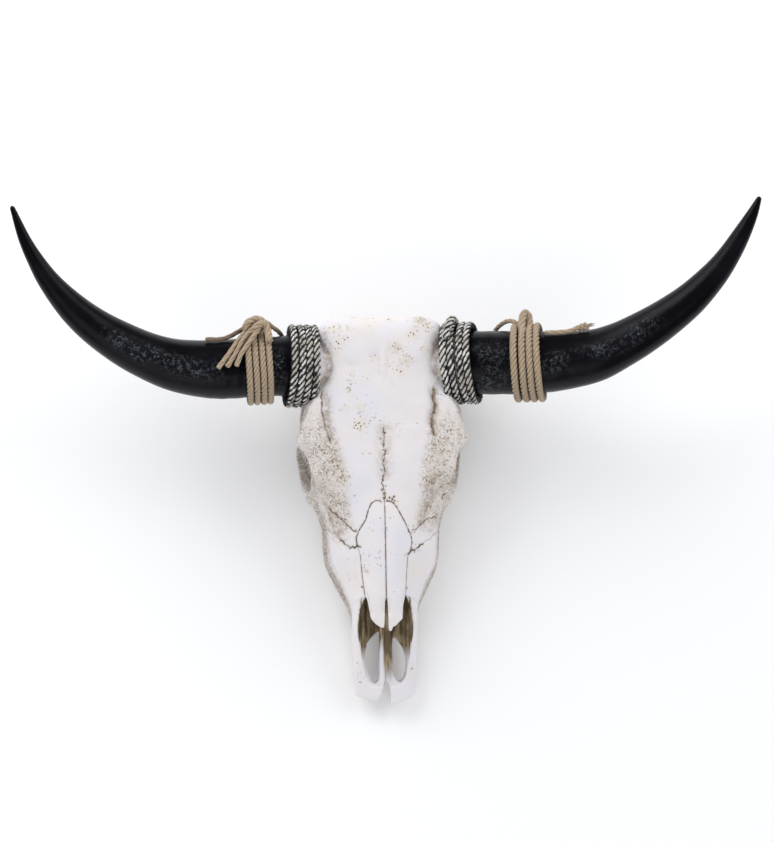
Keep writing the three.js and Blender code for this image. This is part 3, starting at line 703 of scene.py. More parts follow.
FLECK_SPOTS = [
    (-67, 17, 5), (-58, 15, 7), (-44, 25, 3), (-52, 31, 7), (-57, 44, 5), (-40, 14, 4), (-14, 13, 3),
    (-12, 51, 3), (-37, 70, 3), (-39, 81, 4), (-43, 92, 4), (-36, 103, 4), (-46, 112, 4),
    (-28, 113, 6), (-29, 135, 9), (12, 4, 4), (52, 6, 8), (59, 14, 7), (20, 39, 7), (55, 44, 6),
    (32, 57, 7), (24, 69, 6), (40, 24, 8), (-60, 182, 7), (-70, 165, 9), (-52, 200, 9), (68, 172, 9),
    (62, 205, 9), (-1, 226, 4), (12, 232, 5),
]
FRONTAL_SUTURE = [
    (1.2, 122, 2), (1.4, 134, 2), (0.2, 141, 2), (1.6, 150, 2), (-0.1, 163, 3), (1.4, 170, 3),
    (0.2, 178, 3), (-0.9, 186, 3), (0.8, 196, 4), (-2.1, 204, 4), (-1.6, 214, 4), (1.2, 222, 5),
    (-0.4, 231, 5),
]
NASAL_OUTER = {
    -1: [
        (-4.9, 231.4, 5), (-10.5, 229.8, 6), (-16.5, 233.2, 7), (-20.3, 241.2, 7), (-24.3, 254.4, 8),
        (-31.9, 266.2, 10), (-36.1, 276.5, 12), (-34.6, 287, 12), (-31.2, 298.7, 11), (-30.5, 309, 11),
        (-28.9, 328.4, 12), (-26.8, 347.2, 14),
    ],
    1: [
        (5.5, 231, 5), (10.4, 233, 5), (15.1, 239.1, 6), (23.1, 254.1, 8), (30.4, 269.2, 10),
        (33.5, 278.2, 11), (33.9, 285.7, 12), (32.2, 293.1, 12), (28.2, 302.1, 12), (26.4, 324.6, 12),
        (25, 346.1, 14),
    ],
}
NASAL_TIPS = {
    -1: [
        (-24.2, 357), (-22, 368), (-20.2, 379), (-14.6, 386.4), (-7.6, 391), (-2.8, 391.2),
        (-1.9, 386),
    ],
    1: [(21.8, 365), (20.6, 380), (12, 389.4), (8.6, 390), (7.2, 395), (2.9, 395.6), (1.9, 390)],
}
LACRIMAL_UPPER = [
    [
        (-35, 269, 12), (-43, 264.5, 14), (-47.7, 260, 16), (-50, 256.5, 18), (-54, 253.5, 20),
        (-59, 248, 24), (-63, 245, 27), (-68, 239, 32),
    ],
    [
        (31.9, 274, 12), (36, 269, 14), (41, 267, 16), (44.6, 262.5, 17), (50, 260, 20),
        (52.6, 257, 22), (60.8, 254.7, 28), (69, 253.8, 38),
    ],
]
CHEEK_SUTURE = {
    -1: [
        (-31, 288), (-35, 286.6), (-38, 289.4), (-41, 287.4), (-43.5, 290), (-46, 286.8),
        (-49.6, 285.4), (-52, 281), (-55.3, 279.8), (-58, 274.4), (-61, 271.6), (-66, 270.2),
        (-70, 267.4), (-76, 268.6), (-90, 264), (-120, 262),
    ],
    1: [
        (25, 299.2), (30, 298), (32.6, 294.8), (35, 293), (37.5, 295.4), (40, 292), (42.3, 291.4),
        (45, 287.6), (48.7, 287.2), (52, 283), (58, 282.6), (63, 277), (70, 275), (78, 269), (90, 265),
        (120, 262),
    ],
}
LACRIMAL_BANDS = [
    [(-87, 226), (-73, 238), (-64, 253), (-59, 266), (-54, 277)],
    [(66, 198), (59, 214), (60, 228), (51, 246), (46, 258)],
]
CHEEK_CRESTS = [
    [(-74, 292, 52), (-68.5, 316, 50), (-58, 331, 52), (-50, 346, 53), (-44.5, 366, 54)],
    [(73, 290, 52), (66, 312, 52), (57, 330, 53), (49, 346, 54), (44, 366, 55)],
]
ORBIT_RIMS = [
    [
        (-101, 148, 16), (-106, 157, 17), (-98.8, 166, 21), (-93.9, 177.8, 24), (-88.5, 190, 28),
        (-83, 203, 36),
    ],
    [(101, 148, 16), (104.5, 158, 17), (97, 170, 21), (91, 183, 26), (86.3, 196, 31), (81, 208, 38)],
]
NASAL_SWELLS = [
    [(s * 11, 240, 4), (s * 13, 275, 5), (s * 12, 320, 6), (s * 10.5, 384, 14)] for s in (-1, 1)
]
FOREHEAD_CREST = [(1.6, 36, 0), (1.8, 60, 0), (2.1, 84, 0)]
TEMPLE_EDGES = [
    [(s * 79, 96, 10), (s * 88, 112, 12), (s * 96, 130, 13), (s * 101, 146, 15)] for s in (-1, 1)
]
# Soft forms on each side: a line, its width, and its height, below 0 for a hollow.
FACE_FORMS = [
    ([(38, 50, 0), (42, 84, 0), (40, 112, 0)], 16, -1.4),
    ([(30, 130, 0), (30, 190, 0), (24, 222, 0)], 15, 1.1),
    ([(52, 224, 20), (56, 250, 25), (52, 285, 25)], 9, -1.8),
]
CHEEK_FURROW = [(74, 268, 66), (70, 300, 66), (58, 330, 68)]
RIGHT_CHEEK_NOTCH = [(76, 240, 48), (84, 243, 58), (88, 240, 70)]
RIGHT_ARCH_SWELL = [(89, 176, 62), (91, 194, 66), (87, 212, 70), (80, 228, 72)]
ZYGOMATIC_KNOB = (80, 231, 58)
KNOB_GROOVE = [
    (81.7, 225.4, 50), (76.5, 226.4, 47), (75.1, 229.5, 46), (78.3, 233.5, 50), (83.1, 235.2, 56),
]
# The holes of nerves and vessels: a spot, its radius and its height.
NERVE_HOLES = [
    ((64.2, 122.3, 4), 3.2, -4.5),
    ((-73.5, 126, 4), 2.6, -3),
    ((33.6, 447.3, 48), 1.8, -2.4),
]
LOOP_PITS = [(-29.5, 339), (27, 342)]
# Stains round a spot across u and v, with their width and strength.
STAIN_SPOTS = [
    ((50, 6), 9, 0.35),
    ((16, 40), 7, 0.3),
    ((-58, 178), 7, 0.4),
    ((64, 122), 3.4, 1.0),
    ((-73, 126), 3, 0.7),
    ((33.6, 447.3), 1.8, 1.0),
    ((-24, 318), 3, 0.4),
]
GROOVE_SEED = 97
POROUS_SEED = 11
MOST_TRIANGLES = 190_000


def line_of(points, step=2.0):
    return curve_through(points, step)[:, :3]


def neighbour_mean(piece, points, times):
    """The points of a mesh, each moved to the middle of its neighbours, a number of times over."""
    edges = np.empty(len(piece.data.edges) * 2, np.int64)
    piece.data.edges.foreach_get("vertices", edges)
    a, b = edges.reshape(-1, 2).T
    count = np.bincount(a, minlength=len(points)) + np.bincount(b, minlength=len(points))
    mean = points.copy()
    for _ in range(times):
        totals = [
            np.bincount(a, column[b], len(points)) + np.bincount(b, column[a], len(points))
            for column in mean.T
        ]
        mean = np.stack(totals, 1) / np.maximum(count, 1)[:, None]
    return mean


def jagged(line, amount, seed):
    """A line that zigzags as a suture does."""
    route = line_of(line, 1.9)
    random = np.random.default_rng(seed)
    route[1:-1, :2] += random.uniform(-amount, amount, (len(route) - 2, 2))
    return route


def beside(line, count, spread, seed):
    """Random spots beside a line."""
    random = np.random.default_rng(seed)
    route = line_of(line, 1.0)
    spots = route[random.integers(0, len(route), count)]
    spots[:, :2] += random.normal(0, spread, (count, 2))
    return spots


def open_sutures():
    """The sutures over the forehead and beside the eyes, with the small pits along them."""
    lines = [FRONTAL_SUTURE[1:], *LACRIMAL_UPPER]
    routes = [jagged(line, 0.9, 81 + k) for k, line in enumerate(lines)]
    spots = [*beside(FRONTAL_SUTURE[2:], 30, 2.3, 84)]
    for k, line in enumerate(LACRIMAL_UPPER):
        spots += [*beside(line, 9, 2, 85 + k)]
    return routes, spots


class Clay:
    """A mesh whose vertices are pushed in and out along their normals, in the face frame."""

    def __init__(self, piece):
        self.piece = piece
        self.points = vertices(piece)
        self.normals = normals(piece)
        self.facing = np.clip(-self.normals[:, 2] * 1.6, 0, 1)

    def near_flat(self, line, width, facing_up, taper=0.0):
        """Closeness to a line, 1 on it and 0 well away. It fades out over the share taper of each end."""
        reach = 3.2 * width
        line = np.asarray(line, float)
        low, high = line.min(0) - reach, line.max(0) + reach
        columns = [0, 1] if facing_up else [0, 1, 2]
        past_low, past_high = self.points > low, self.points < high
        near = np.all((past_low & past_high)[:, columns], axis=1)
        closeness = np.zeros(len(self.points))
        index = np.flatnonzero(near)
        if len(index):
            away, where = distance_to(self.points[index][:, columns], line[:, columns])
            closeness[index] = np.exp(-((away / width) ** 2))
            if taper:
                closeness[index] *= rise(where, 0, taper) * (1 - rise(where, 1 - taper, 1))
            if facing_up:
                closeness[index] *= self.facing[index]
        return closeness

    def carve(self, route, width, height, facing_up=True, taper=0.0):
        self.points += self.normals * (self.near_flat(route, width, facing_up, taper) * height)[:, None]

    def stroke(self, line, width, height, facing_up=True, taper=0.2):
        self.carve(line_of(line), width, height, facing_up, taper)

    def dab(self, spot, radius, height, facing_up=False):
        self.points += self.normals * (self.near_flat([spot, spot], radius, facing_up) * height)[:, None]

    def push(self, heights):
        self.points += self.normals * heights[:, None]

    def done(self):
        move_vertices(self.piece, self.points)


def porous_share(points):
    """Where the bone is spongy: beside the orbits, under the cheeks, on the nape and the base."""
    u, v, w = points.T
    smooth_half = np.interp(v, [60, 110, 140, 165, 200, 235, 262, 285], [74, 70, 60, 50, 46, 44, 40, 60])
    flank = rise(np.abs(u), smooth_half - 6, smooth_half + 10) * rise(v, 100, 150)
    flank *= 1 - rise(v, 262, 288)
    under = rise(w, 50, 62) * rise(v, 250, 300) * (1 - rise(v, 372, 400))
    nape = rise(w, 22, 46) * (1 - rise(v, 40, 110))
    base = rise(w, 62, 86)
    return np.clip(flank + 0.8 * under + 0.7 * np.maximum(nape, base), 0, 1)


def fleck_share(points):
    """Where the forehead has small dark pits and cream stains, in clusters."""
    u, v, _ = points.T
    total = np.zeros(len(points))
    for spot_u, spot_v, radius in FLECK_SPOTS:
        total = np.maximum(total, np.exp(-(((u - spot_u) ** 2 + (v - spot_v) ** 2) / radius**2)))
    return total


def cavity_share(points, facing):
    """How far a point lies on the walls of the nasal cavity, behind its pale edges."""
    u, v, w = points.T
    table = np.asarray(NASAL_CAVITY, float)
    middle = smooth_value(table[:, 0], table[:, 4], v)
    top = np.interp(v, [340, 372, 400, 440, 470], [16, 18, 32, 45, 54])
    inside = rise(middle + 2.2 - np.abs(u), 0, 1.5) * rise(w, top, top + 4) * (1 - rise(w, 74, 82))
    inwards = 1 - rise(facing[:, 0] * np.sign(u), -0.3, 0.2) * rise(np.abs(u), 18, 22)
    walls = (1 - rise(v, 412, 438)) * rise(np.abs(u), 13, 16)
    bar = (1 - rise(v, 436, 472)) * (1 - rise(np.abs(u), 13, 16)) * rise(u, -3.5, -0.5)
    bar *= 1 - rise(u, 8.5, 10.5)
    behind = 1 - rise(v, 402, 424)
    return inside * inwards * rise(v, 255, 262) * np.clip(walls + bar + behind, 0, 1)


def sculpt(skull):
    clay = Clay(skull)
    u, v, _ = clay.points.T
    blend = clay.facing * (1 - rise(np.abs(u), 29, 33)) * rise(v, 308, 320) * (1 - rise(v, 370, 380))
    clay.points += (neighbour_mean(skull, clay.points, 50) - clay.points) * blend[:, None]
    clay.push(0.9 * lumps(clay.points, 34, 3) + 0.35 * lumps(clay.points, 13, 5))
    for line in HORN_HOLLOWS:
        clay.stroke(line, 7.0, -2.6)
    for line in BROW_HOLLOWS:
        clay.stroke(line, 7.0, -2.8)
    for line in BROW_GROOVES:
        clay.carve(jagged(line, 0.7, GROOVE_SEED), 1.5, -1.5, taper=0.15)
    for shift, width, height in ((0, 3.0, 1.5), (9, 7.0, -0.5), (-9, 6.5, -1.3)):
        clay.stroke([(a + shift, b, c) for a, b, c in FOREHEAD_CREST], width, height, taper=0.35)
    for line in ORBIT_RIMS:
        clay.stroke(line, 4.5, 1.8, facing_up=False)
    for line in TEMPLE_EDGES:
        clay.stroke(line, 4.5, 1.3, facing_up=False)
    for side in (-1, 1):
        for line, width, height in FACE_FORMS:
            clay.stroke(mirrored(line, side), width, height)
        clay.dab((side * 52, 301, 30), 14, 1.6)
        clay.dab((side * 47, 352, 62), 3.2, -3.5)
        clay.stroke(mirrored(CHEEK_FURROW, side), 5, -2.4, facing_up=False)
    for line in NASAL_SWELLS:
        clay.stroke(line, 7.5, 1.5)
    clay.dab((0, 228, 5), 11, -1.2, facing_up=True)
    for line in CHEEK_CRESTS:
        clay.stroke(line, 3.5, 1.5, facing_up=False)
    clay.dab(ZYGOMATIC_KNOB, 8, 2.6)
    clay.stroke(RIGHT_CHEEK_NOTCH, 2.6, -1.8, facing_up=False)
    for spot, radius, height in NERVE_HOLES:
        clay.dab(spot, radius, height)
    clay.stroke(RIGHT_ARCH_SWELL, 9, 3.6, facing_up=False)
    clay.carve(KNOB_GROOVE, 1.5, -1.8, facing_up=False)
    for spot in LOOP_PITS:
        clay.dab((*spot, 12), 1.6, -2.0, facing_up=True)
    routes, spots = open_sutures()
    for route in routes:
        clay.carve(route, 1.0, -1.2, taper=0.06)
    for spot in spots:
        clay.dab(spot, 1.0, -1.5, facing_up=True)
    for spot in NASION_PITS:
        clay.dab((*spot, 5), 1.5, -2.4, facing_up=True)
    for side in (-1, 1):
        clay.stroke(NASAL_OUTER[side], 1.6, -0.9)
        clay.stroke([(a, b, 20) for a, b in CHEEK_SUTURE[side]], 1.5, -0.8)
    clay.stroke([(0, 232, 5), (0, 330, 6), (0, 392, 14)], 1.5, -1.0)
    porous = porous_share(clay.points)
    clay.push(porous * (0.3 * lumps(clay.points, 6.5, 7) + 0.28 * lumps(clay.points, 2.8, 8) - 0.15))
    pits(clay, porous)
    nasal_scrolls(clay)
    clay.done()


def pits(clay, porous):
    """Small round pits, thick on the porous flanks and thin on the forehead."""
    random = np.random.default_rng(POROUS_SEED)
    chance = 0.006 * porous + 0.0004 * clay.facing + 0.012 * fleck_share(clay.points) * clay.facing
    for i in np.flatnonzero(random.uniform(size=len(chance)) < chance):
        radius = random.uniform(0.8, 1.35)
        near = np.flatnonzero(np.all(np.abs(clay.points - clay.points[i]) < 2.5 * radius, axis=1))
        away = np.linalg.norm(clay.points[near] - clay.points[i], axis=1)
        depth = random.uniform(0.4, 1.2) * np.exp(-((away / radius) ** 2))
        clay.points[near] -= clay.normals[near] * depth[:, None]


def nasal_scrolls(clay):
    """The folded bones on the cavity's walls."""
    u, v, w = clay.points.T
    inside = cavity_share(clay.points, clay.normals)
    waves = np.sin((w + 0.12 * v + 3 * np.sin(v / 17)) / 2.7)
    clay.push(inside * rise(np.abs(u), 12, 20) * (1.1 * waves + 0.8 * lumps(clay.points, 6, 31)))


# ---------- Bones, parted along their sutures ----------
def shrunk(outline, amount):
    """A closed outline across u and v, moved inwards."""
    flat = np.asarray(outline, float)[:, :2]
    after, before = np.roll(flat, -1, axis=0), np.roll(flat, 1, axis=0)
    along = after - before
    along /= np.linalg.norm(along, axis=1)[:, None]
    area = np.sum(flat[:, 0] * after[:, 1] - after[:, 0] * flat[:, 1])
    inward = np.stack([-along[:, 1], along[:, 0]], 1) * np.sign(area)
    return flat + inward * amount


def nasal_outline(side):
    middle = [(side * 1.4, 376), (side * 0.5, 360), (side * 0.01, 340), (side * 0.01, 232)]
    return [*[p[:2] for p in NASAL_OUTER[side]], *NASAL_TIPS[side], *middle]


def nasal_region(side, inset):
    """One nasal bone: a prism over its outline whose floor lies just under the bone."""
    region = prism("nasal_region", shrunk(nasal_outline(side), inset), -60, 0)
    points = vertices(region)
    deep = points[:, 2] > -1
    points[deep, 2] = np.interp(points[deep, 1], [200, 300, 460], [13, 17, 30]) - inset
    move_vertices(region, points)
    return region


def jaw_region(inset):
    """In front of the cheek suture above, and all that holds the teeth below."""
    edge = [*reversed(CHEEK_SUTURE[-1]), (-12, 291), (12, 293), *CHEEK_SUTURE[1]]
    upper = prism("jaw_region", [(u, v + inset) for u, v in edge] + [(120, 560), (-120, 560)], -40, 200)
    back = 232 + inset
    lower = prism("jaw_back", [(-160, back), (160, back), (160, 420), (-160, 420)], 98 + inset, 220)
    return combined(upper, lower, "UNION")


def muzzle_region(inset):
    edge = [(338, -20), (345, 0), (352, 20), (366, 40), (383, 60), (397, 80), (412, 100)]
    wavy = [(v + inset + 1.2 * math.sin(w / 4.0), w) for v, w in edge]
    return prism("muzzle_region", [*wavy, (560, 100), (560, -20)], -160, 160, axis="u")


def cheek_region(side, inset):
    outline = [
        (268 - inset, 66 + inset), (236, 58 + inset), (150 + inset, 58 + inset), (150 + inset, 80 + inset),
        (96 + inset, 84 + inset), (96 + inset, 124 - inset), (268 - inset, 124 - inset),
    ]
    near, far = (66 + inset, 200) if side > 0 else (-200, -66 - inset)
    return prism("cheek_region", outline, near, far, axis="u")


def half(side):
    low, high = sorted((side * SUTURE / 2, side * 200))
    return prism("half", [(low, -60), (high, -60), (high, 600), (low, 600)], -200, 300)


def largest_part(piece):
    """Keeps the biggest connected part of a piece."""
    name = piece.name
    select_only(piece)
    bpy.ops.mesh.separate(type="LOOSE")
    parts = sorted(bpy.context.selected_objects, key=lambda part: len(part.data.vertices))
    for stray in parts[:-1]:
        discard(stray)
    parts[-1].name = name
    return parts[-1]


def bones(skull):
    """The skull cut into its bones, each a closed piece with a thin gap to its neighbours."""
    inset = SUTURE / 2
    made = {}
    for side, name in SIDES:
        made["nasal_" + name] = combined(copy_of(skull, "nasal"), nasal_region(side, inset), "INTERSECT")
    for side in (-1, 1):
        combined(skull, nasal_region(side, -inset), "DIFFERENCE")
    back = combined(copy_of(skull, "jaw"), jaw_region(inset), "INTERSECT")
    combined(skull, jaw_region(-inset), "DIFFERENCE")
    for side, name in SIDES:
        cheek = copy_of(skull, "cheek")
        made["zygomatic_" + name] = combined(cheek, cheek_region(side, inset), "INTERSECT")
    for side in (-1, 1):
        combined(skull, cheek_region(side, -inset), "DIFFERENCE")
    made["cranium"] = skull
    front = combined(copy_of(back, "muzzle"), muzzle_region(inset), "INTERSECT")
    combined(back, muzzle_region(-inset), "DIFFERENCE")
    for side, name in SIDES:
        made["maxilla_" + name] = combined(copy_of(back, "maxilla"), half(side), "INTERSECT")
        made["premaxilla_" + name] = combined(copy_of(front, "premaxilla"), half(side), "INTERSECT")
    discard(front)
    discard(back)
    return {name: largest_part(piece) for name, piece in made.items()}


def mark(piece, name, values):
    layer = piece.data.attributes.new(name, "FLOAT", "POINT")
    layer.data.foreach_set("value", np.asarray(values, np.float32))


def stain_share(points):
    """Brown stain along the sutures and grooves, and in patches on the forehead."""
    flat, above = points[:, :2], points[:, 2] < 40
    total = np.zeros(len(points))

    def along(line, width, strength):
        away, _ = distance_to(flat, np.asarray(line, float)[:, :2])
        np.maximum(total, strength * np.exp(-((away / width) ** 2)) * above, out=total)

    for line in BROW_GROOVES:
        along(jagged(line, 0.7, GROOVE_SEED), 1.2, 0.9)
    for line, strength in zip(BROW_HOLLOWS, (0.56, 0.72)):
        along(line, 5.5, strength)
    for line in HORN_HOLLOWS:
        along(line, 6.0, 0.5)
    along(FRONTAL_SUTURE[2:9], 8, 0.42)
    routes, spots = open_sutures()
    for route in routes:
        along(route, 0.85, 1.0)
    for spot in (*spots, *((*pit, 12) for pit in LOOP_PITS)):
        along([spot, spot], 1.1, 0.9)
    along(KNOB_GROOVE, 1.4, 0.9)
    for line in LACRIMAL_BANDS:
        along(line, 7, 0.5)
    for side in (-1, 1):
        along(NASAL_OUTER[side][:8], 1.0, 0.9)
        along(NASAL_OUTER[side][8:], 1.0, 0.6 if side < 0 else 0.3)
        along(CHEEK_SUTURE[side][:9], 1.4, 0.9)
    along([(0, 232), (0, 392)], 0.9, 0.8)
    for spot in NASION_PITS:
        along([spot, spot], 1.6, 1.0)
    for spot, width, strength in STAIN_SPOTS:
        along([spot, spot], width, strength)
    return total


def painted_shade_share(points):
    """Where the bone is darker as painted shade: past the rims of the eye sockets and the temple edges, and
    under the cheeks.
    """
    u, v, w = points.T
    total = rise(w, 44, 56) * rise(v, 238, 262) * (1 - rise(v, 384, 404)) * rise(np.abs(u), 30, 40)
    for rim in ORBIT_RIMS:
        edge = np.asarray(rim)
        past = np.abs(u) - np.interp(v, edge[:, 1], np.abs(edge[:, 0]))
        same_side = np.sign(u) == np.sign(edge[0, 0])
        beyond = same_side * rise(past, 0.5, 5) * rise(v, 156, 172) * (1 - rise(v, 206, 222))
        total = np.maximum(total, beyond)
    for line in TEMPLE_EDGES:
        edge = np.asarray(line)
        past = u * np.sign(edge[0, 0]) - np.interp(v, edge[:, 1], np.abs(edge[:, 0]))
        total = np.maximum(total, rise(past, 1, 5) * rise(v, 92, 104) * (1 - rise(v, 124, 138)))
    return total


# The bone finish darkens the grooves by this share as painted shade.
def hollow_shade_share(piece, points):
    """How sunken each vertex is against the surface around it, from -1 on ridges to 1 in grooves."""
    around = neighbour_mean(piece, points, 6)
    return np.clip(np.sum((around - points) * normals(piece), axis=1) / 0.55, -1, 1)


def thinned(piece):
    """Merges the flattest faces of a piece that has too many triangles."""
    triangles = len(piece.data.loops) - 2 * len(piece.data.polygons)
    if triangles > MOST_TRIANGLES:
        apply_modifier(piece, "DECIMATE", ratio=MOST_TRIANGLES / triangles)


def dressed(piece, finish):
    """Gives a piece its finish and its body."""
    piece.data.materials.clear()
    piece.data.materials.append(finish)
    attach(piece, "root")


def finished_bone(name, piece):
    """Marks what the finish needs, and puts the bone in its place in the row frame."""
    piece.name = name + "_bone"
    points = vertices(piece)
    floor = floor_depth(points[:, 1])
    tooth = rise(points[:, 2], floor - 22, floor - 17) * (points[:, 1] > 238)
    mark(piece, "porous", porous_share(points))
    mark(piece, "cavity", cavity_share(points, normals(piece)))
    mark(piece, "stain", stain_share(points))
    mark(piece, "flecks", fleck_share(points) * (points[:, 2] < 20))
    # Painted shade past the eye sockets' rims, beyond the temple edges and under the cheeks.
    mark(piece, "painted_shade", painted_shade_share(points))
    # The hollow mark darkens the bone in its grooves as painted shade.
    mark(piece, "hollow", hollow_shade_share(piece, points))
    mark(piece, "tooth", tooth * (np.abs(points[:, 0]) > 24))
    thinned(piece)
    placed = to_row(vertices(piece))
    placed[:, 2] = np.where(placed[:, 2] < REST_LEVEL, 0, placed[:, 2])
    move_vertices(piece, placed)
    select_only(piece)
    bpy.ops.object.shade_smooth_by_angle(angle=math.radians(50))
    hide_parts(name)
    dressed(piece, bone_finish())


# ---------- Horns ----------
def make_horn(side, name):
    line = horn_line(side, 1.5)
    line = line[np.abs(line[:, 0]) >= ROOT_END + CLEARANCE]
    length = lengths_along(line)
    left = length[-1] - length
    round_end = np.sqrt(np.clip(1 - (1 - left / HORN_TIP) ** 2, 0, 1))
    line[:, 3] = np.where(left < HORN_TIP, line[:, 3] * round_end, line[:, 3])
    line[-1, 3] = 0.2
    horn = around_line("horn", line, 120, lambda i, angle: line[i, 3] - CLEARANCE)
    points = vertices(horn)
    reach = np.abs(points[:, 0])
    facing = normals(horn)
    worn = horn_wear(points)
    rings = np.sin(reach / 3.1 + 2.5 * lumps(points, 40, 41)) * (1 - rise(reach, 150, 260))
    relief = 0.22 * rings + 0.5 * lumps(points, 45, 42) + worn * (0.35 * lumps(points, 3.2, 43) - 0.1)
    away = 1 - rise(reach, 430, 445)
    end = rise(reach, ROOT_END + 1, ROOT_END + 6)
    move_vertices(horn, points + facing * (relief * away * end)[:, None])
    mark(horn, "worn", worn)
    return settled(horn, "horn_" + name, horn_finish())


def horn_wear(points):
    """Where the horn is scraped: beside the band, and along the middle of its outer side."""
    u, v, w = np.abs(points[:, 0]), points[:, 1], points[:, 2]
    beside_band = 1 - rise(np.abs(u - 139), 12, 26)
    outer = 1 - rise(np.abs(u - 268), 46, 92)
    streak = 1 - rise(np.abs(v - np.interp(u, [190, 250, 300, 350], [66, 58, 40, 8])), 6, 19)
    patchy = rise(lumps(points, 22, 44), -0.5, 0.45)
    return np.clip(beside_band * rise(v, 25, 45) * 0.9 + outer * streak, 0, 1) * patchy * (w < 40)


def settled(piece, node, finish):
    """Puts a piece in its place for a node of the frame, and gives it its finish."""
    piece.name = node + "_piece"
    move_vertices(piece, to_row(vertices(piece)))
    select_only(piece)
    bpy.ops.object.shade_smooth()
    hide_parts(node)
    dressed(piece, finish)
    return piece


# ---------- Rope and cord ----------
def carried_frames(line, first):
    """Two directions across a line at each point, carried along it without twisting."""
    ahead = directions(line)
    side = np.zeros((len(line), 3))
    now = np.asarray(first, float)
    for i, direction in enumerate(ahead):
        now = now - direction * (now @ direction)
        now = now / np.linalg.norm(now)
        side[i] = now
    return side, np.cross(ahead, side)


def rope(name, line, diameter, lay, columns=32, strands=4, depth=1.0, spread=None):
    """A rope along a line, whose strands turn once in each length of lay. depth is that of the grooves
    between them, from 0 on a smooth cord to 1."""
    line = np.asarray(line, float)[:, :3]
    rows = len(line) + 1
    length = lengths_along(line)
    side, over = carried_frames(line, (0.31, 0.2, 0.93))
    strand, offset = 0.222 * diameter, 0.278 * diameter
    share = 2 * np.pi / strands
    swell = np.ones(len(line)) if spread is None else spread
    end = np.minimum(length, length[-1] - length)
    rounding = np.sqrt(np.clip(1 - (1 - np.clip(end / (0.22 * diameter), 0, 1)) ** 2, 0.02, 1))
    heights = {}

    def place(row, around):
        i = np.clip(row - 1, 0, len(line) - 1)
        angle = 2 * np.pi * around
        turned = angle - 2 * np.pi * length[i] / lay
        from_strand = ((turned + share / 2) % share - share / 2) * strands / 4
        lobed = offset * np.cos(from_strand) + np.sqrt(strand**2 - (offset * np.sin(from_strand)) ** 2)
        heights["height"] = rise(lobed / diameter, 0.30, 0.5)
        reach = 0.5 * diameter + (lobed - 0.5 * diameter) * depth
        heights["turned"] = turned / (2 * np.pi)
        heights["along"] = length[i] / diameter
        reach = reach * swell[i] * rounding[i] * open_rows(row, rows)
        return points_round(line[i], side[i], over[i], reach, angle)

    return skin(name, rows, columns, place, marks=heights)


def winding_line(side, winding, offsets, wobble, seed):
    """Turns side by side round the horn, each stepping to the next on the side that faces the floor."""
    axis = horn_line(side, 1.0)
    reach = np.abs(axis[:, 0])
    ahead = directions(axis)
    radius = winding["inner"] + winding["thickness"] / 2
    turns = len(offsets)
    steps = int(turns * 2 * np.pi * radius / WINDING_STEP)
    turn = np.linspace(0.02, turns - 0.02, steps)
    whole = np.clip(turn.astype(int), 0, turns - 1)
    part = turn - whole
    next_one = np.minimum(whole + 1, turns - 1)
    at = np.asarray(offsets, float)
    place = at[whole] + (at[next_one] - at[whole]) * rise(part, 0.84, 1.0)
    random = np.random.default_rng(seed)
    for k in (1, 2, 3, 5):
        wave = np.sin(2 * np.pi * (k * turn + random.uniform()))
        place = place + wobble / k * wave * random.uniform(0.3, 1)
    place = place + winding["start"]
    angle = 2 * np.pi * (part + 0.5)
    centre = np.stack([np.interp(place, reach, axis[:, k]) for k in range(3)], 1)
    along = np.stack([np.interp(place, reach, ahead[:, k]) for k in range(3)], 1)
    along /= np.linalg.norm(along, axis=1)[:, None]
    to_poll = np.cross(along, (0, 0, 1.0)) * side
    to_poll /= np.linalg.norm(to_poll, axis=1)[:, None]
    to_viewer = np.cross(to_poll, along) * side
    to_viewer = np.where(to_viewer[:, 2:] > 0, -to_viewer, to_viewer)
    return leaning(points_round(centre, to_viewer, -to_poll, radius, angle), side, winding)


def over_horn(u, degrees, height):
    """A point over the horn, at u, an angle from its upper side towards the poll, and a height over it."""
    side = int(math.copysign(1, u))
    line = horn_line(side, 1.0)
    centre = np.array([np.interp(abs(u), np.abs(line[:, 0]), line[:, k]) for k in range(4)])
    angle = math.radians(degrees)
    reach = centre[3] + height
    return centre[:3] + np.array([0, -math.sin(angle) * reach, -math.cos(angle) * reach])


TAILS = {
    "tail_left_1": [(-163, 72, 16), (-176, 52, 9), (-191, 24, 3.7), (-204, 0, 3.7)],
    "tail_left_2": [(-157, 66, 18), (-171, 46, 12), (-182, 24, 5), (-193, 2, 3.7)],
    "tail_left_3": [(-151, 58, 19), (-162, 40, 15.5), (-174.5, 22, 8), (-181.5, 2, 3.7)],
    "tail_left_4": [(-163, 83, 17), (-176, 77, 10), (-196, 65, 4), (-219, 64, 3.7)],
    "tail_right_1": [(206, 58, 3.7), (220, 58, 3.7), (238, 62, 3.7), (250, 68, 6), (263, 68, 3.7)],
}


def make_tail(node):
    line = curve_through([over_horn(*point) for point in TAILS[node]], 0.8)
    spread = 1 + 0.10 * rise(np.linspace(0, 1, len(line)), 0.75, 1)
    tail = rope(node, line, TAIL, TAIL_LAY, columns=24, strands=3, depth=0.4, spread=spread)
    # The cord over the horn's far upper side is darkened all over as painted shade.
    mark(tail, "recess_shade", np.full(len(vertices(tail)), 1.0 if node == "tail_left_4" else 0.0))
    settled(tail, node, jute_finish())
    path = [tuple(point) for point in to_row(line[::6])]
    path.append(tuple(to_row(line[-1])))
    knots = [make_end_knot()] if node == "tail_right_1" else []
    return tail


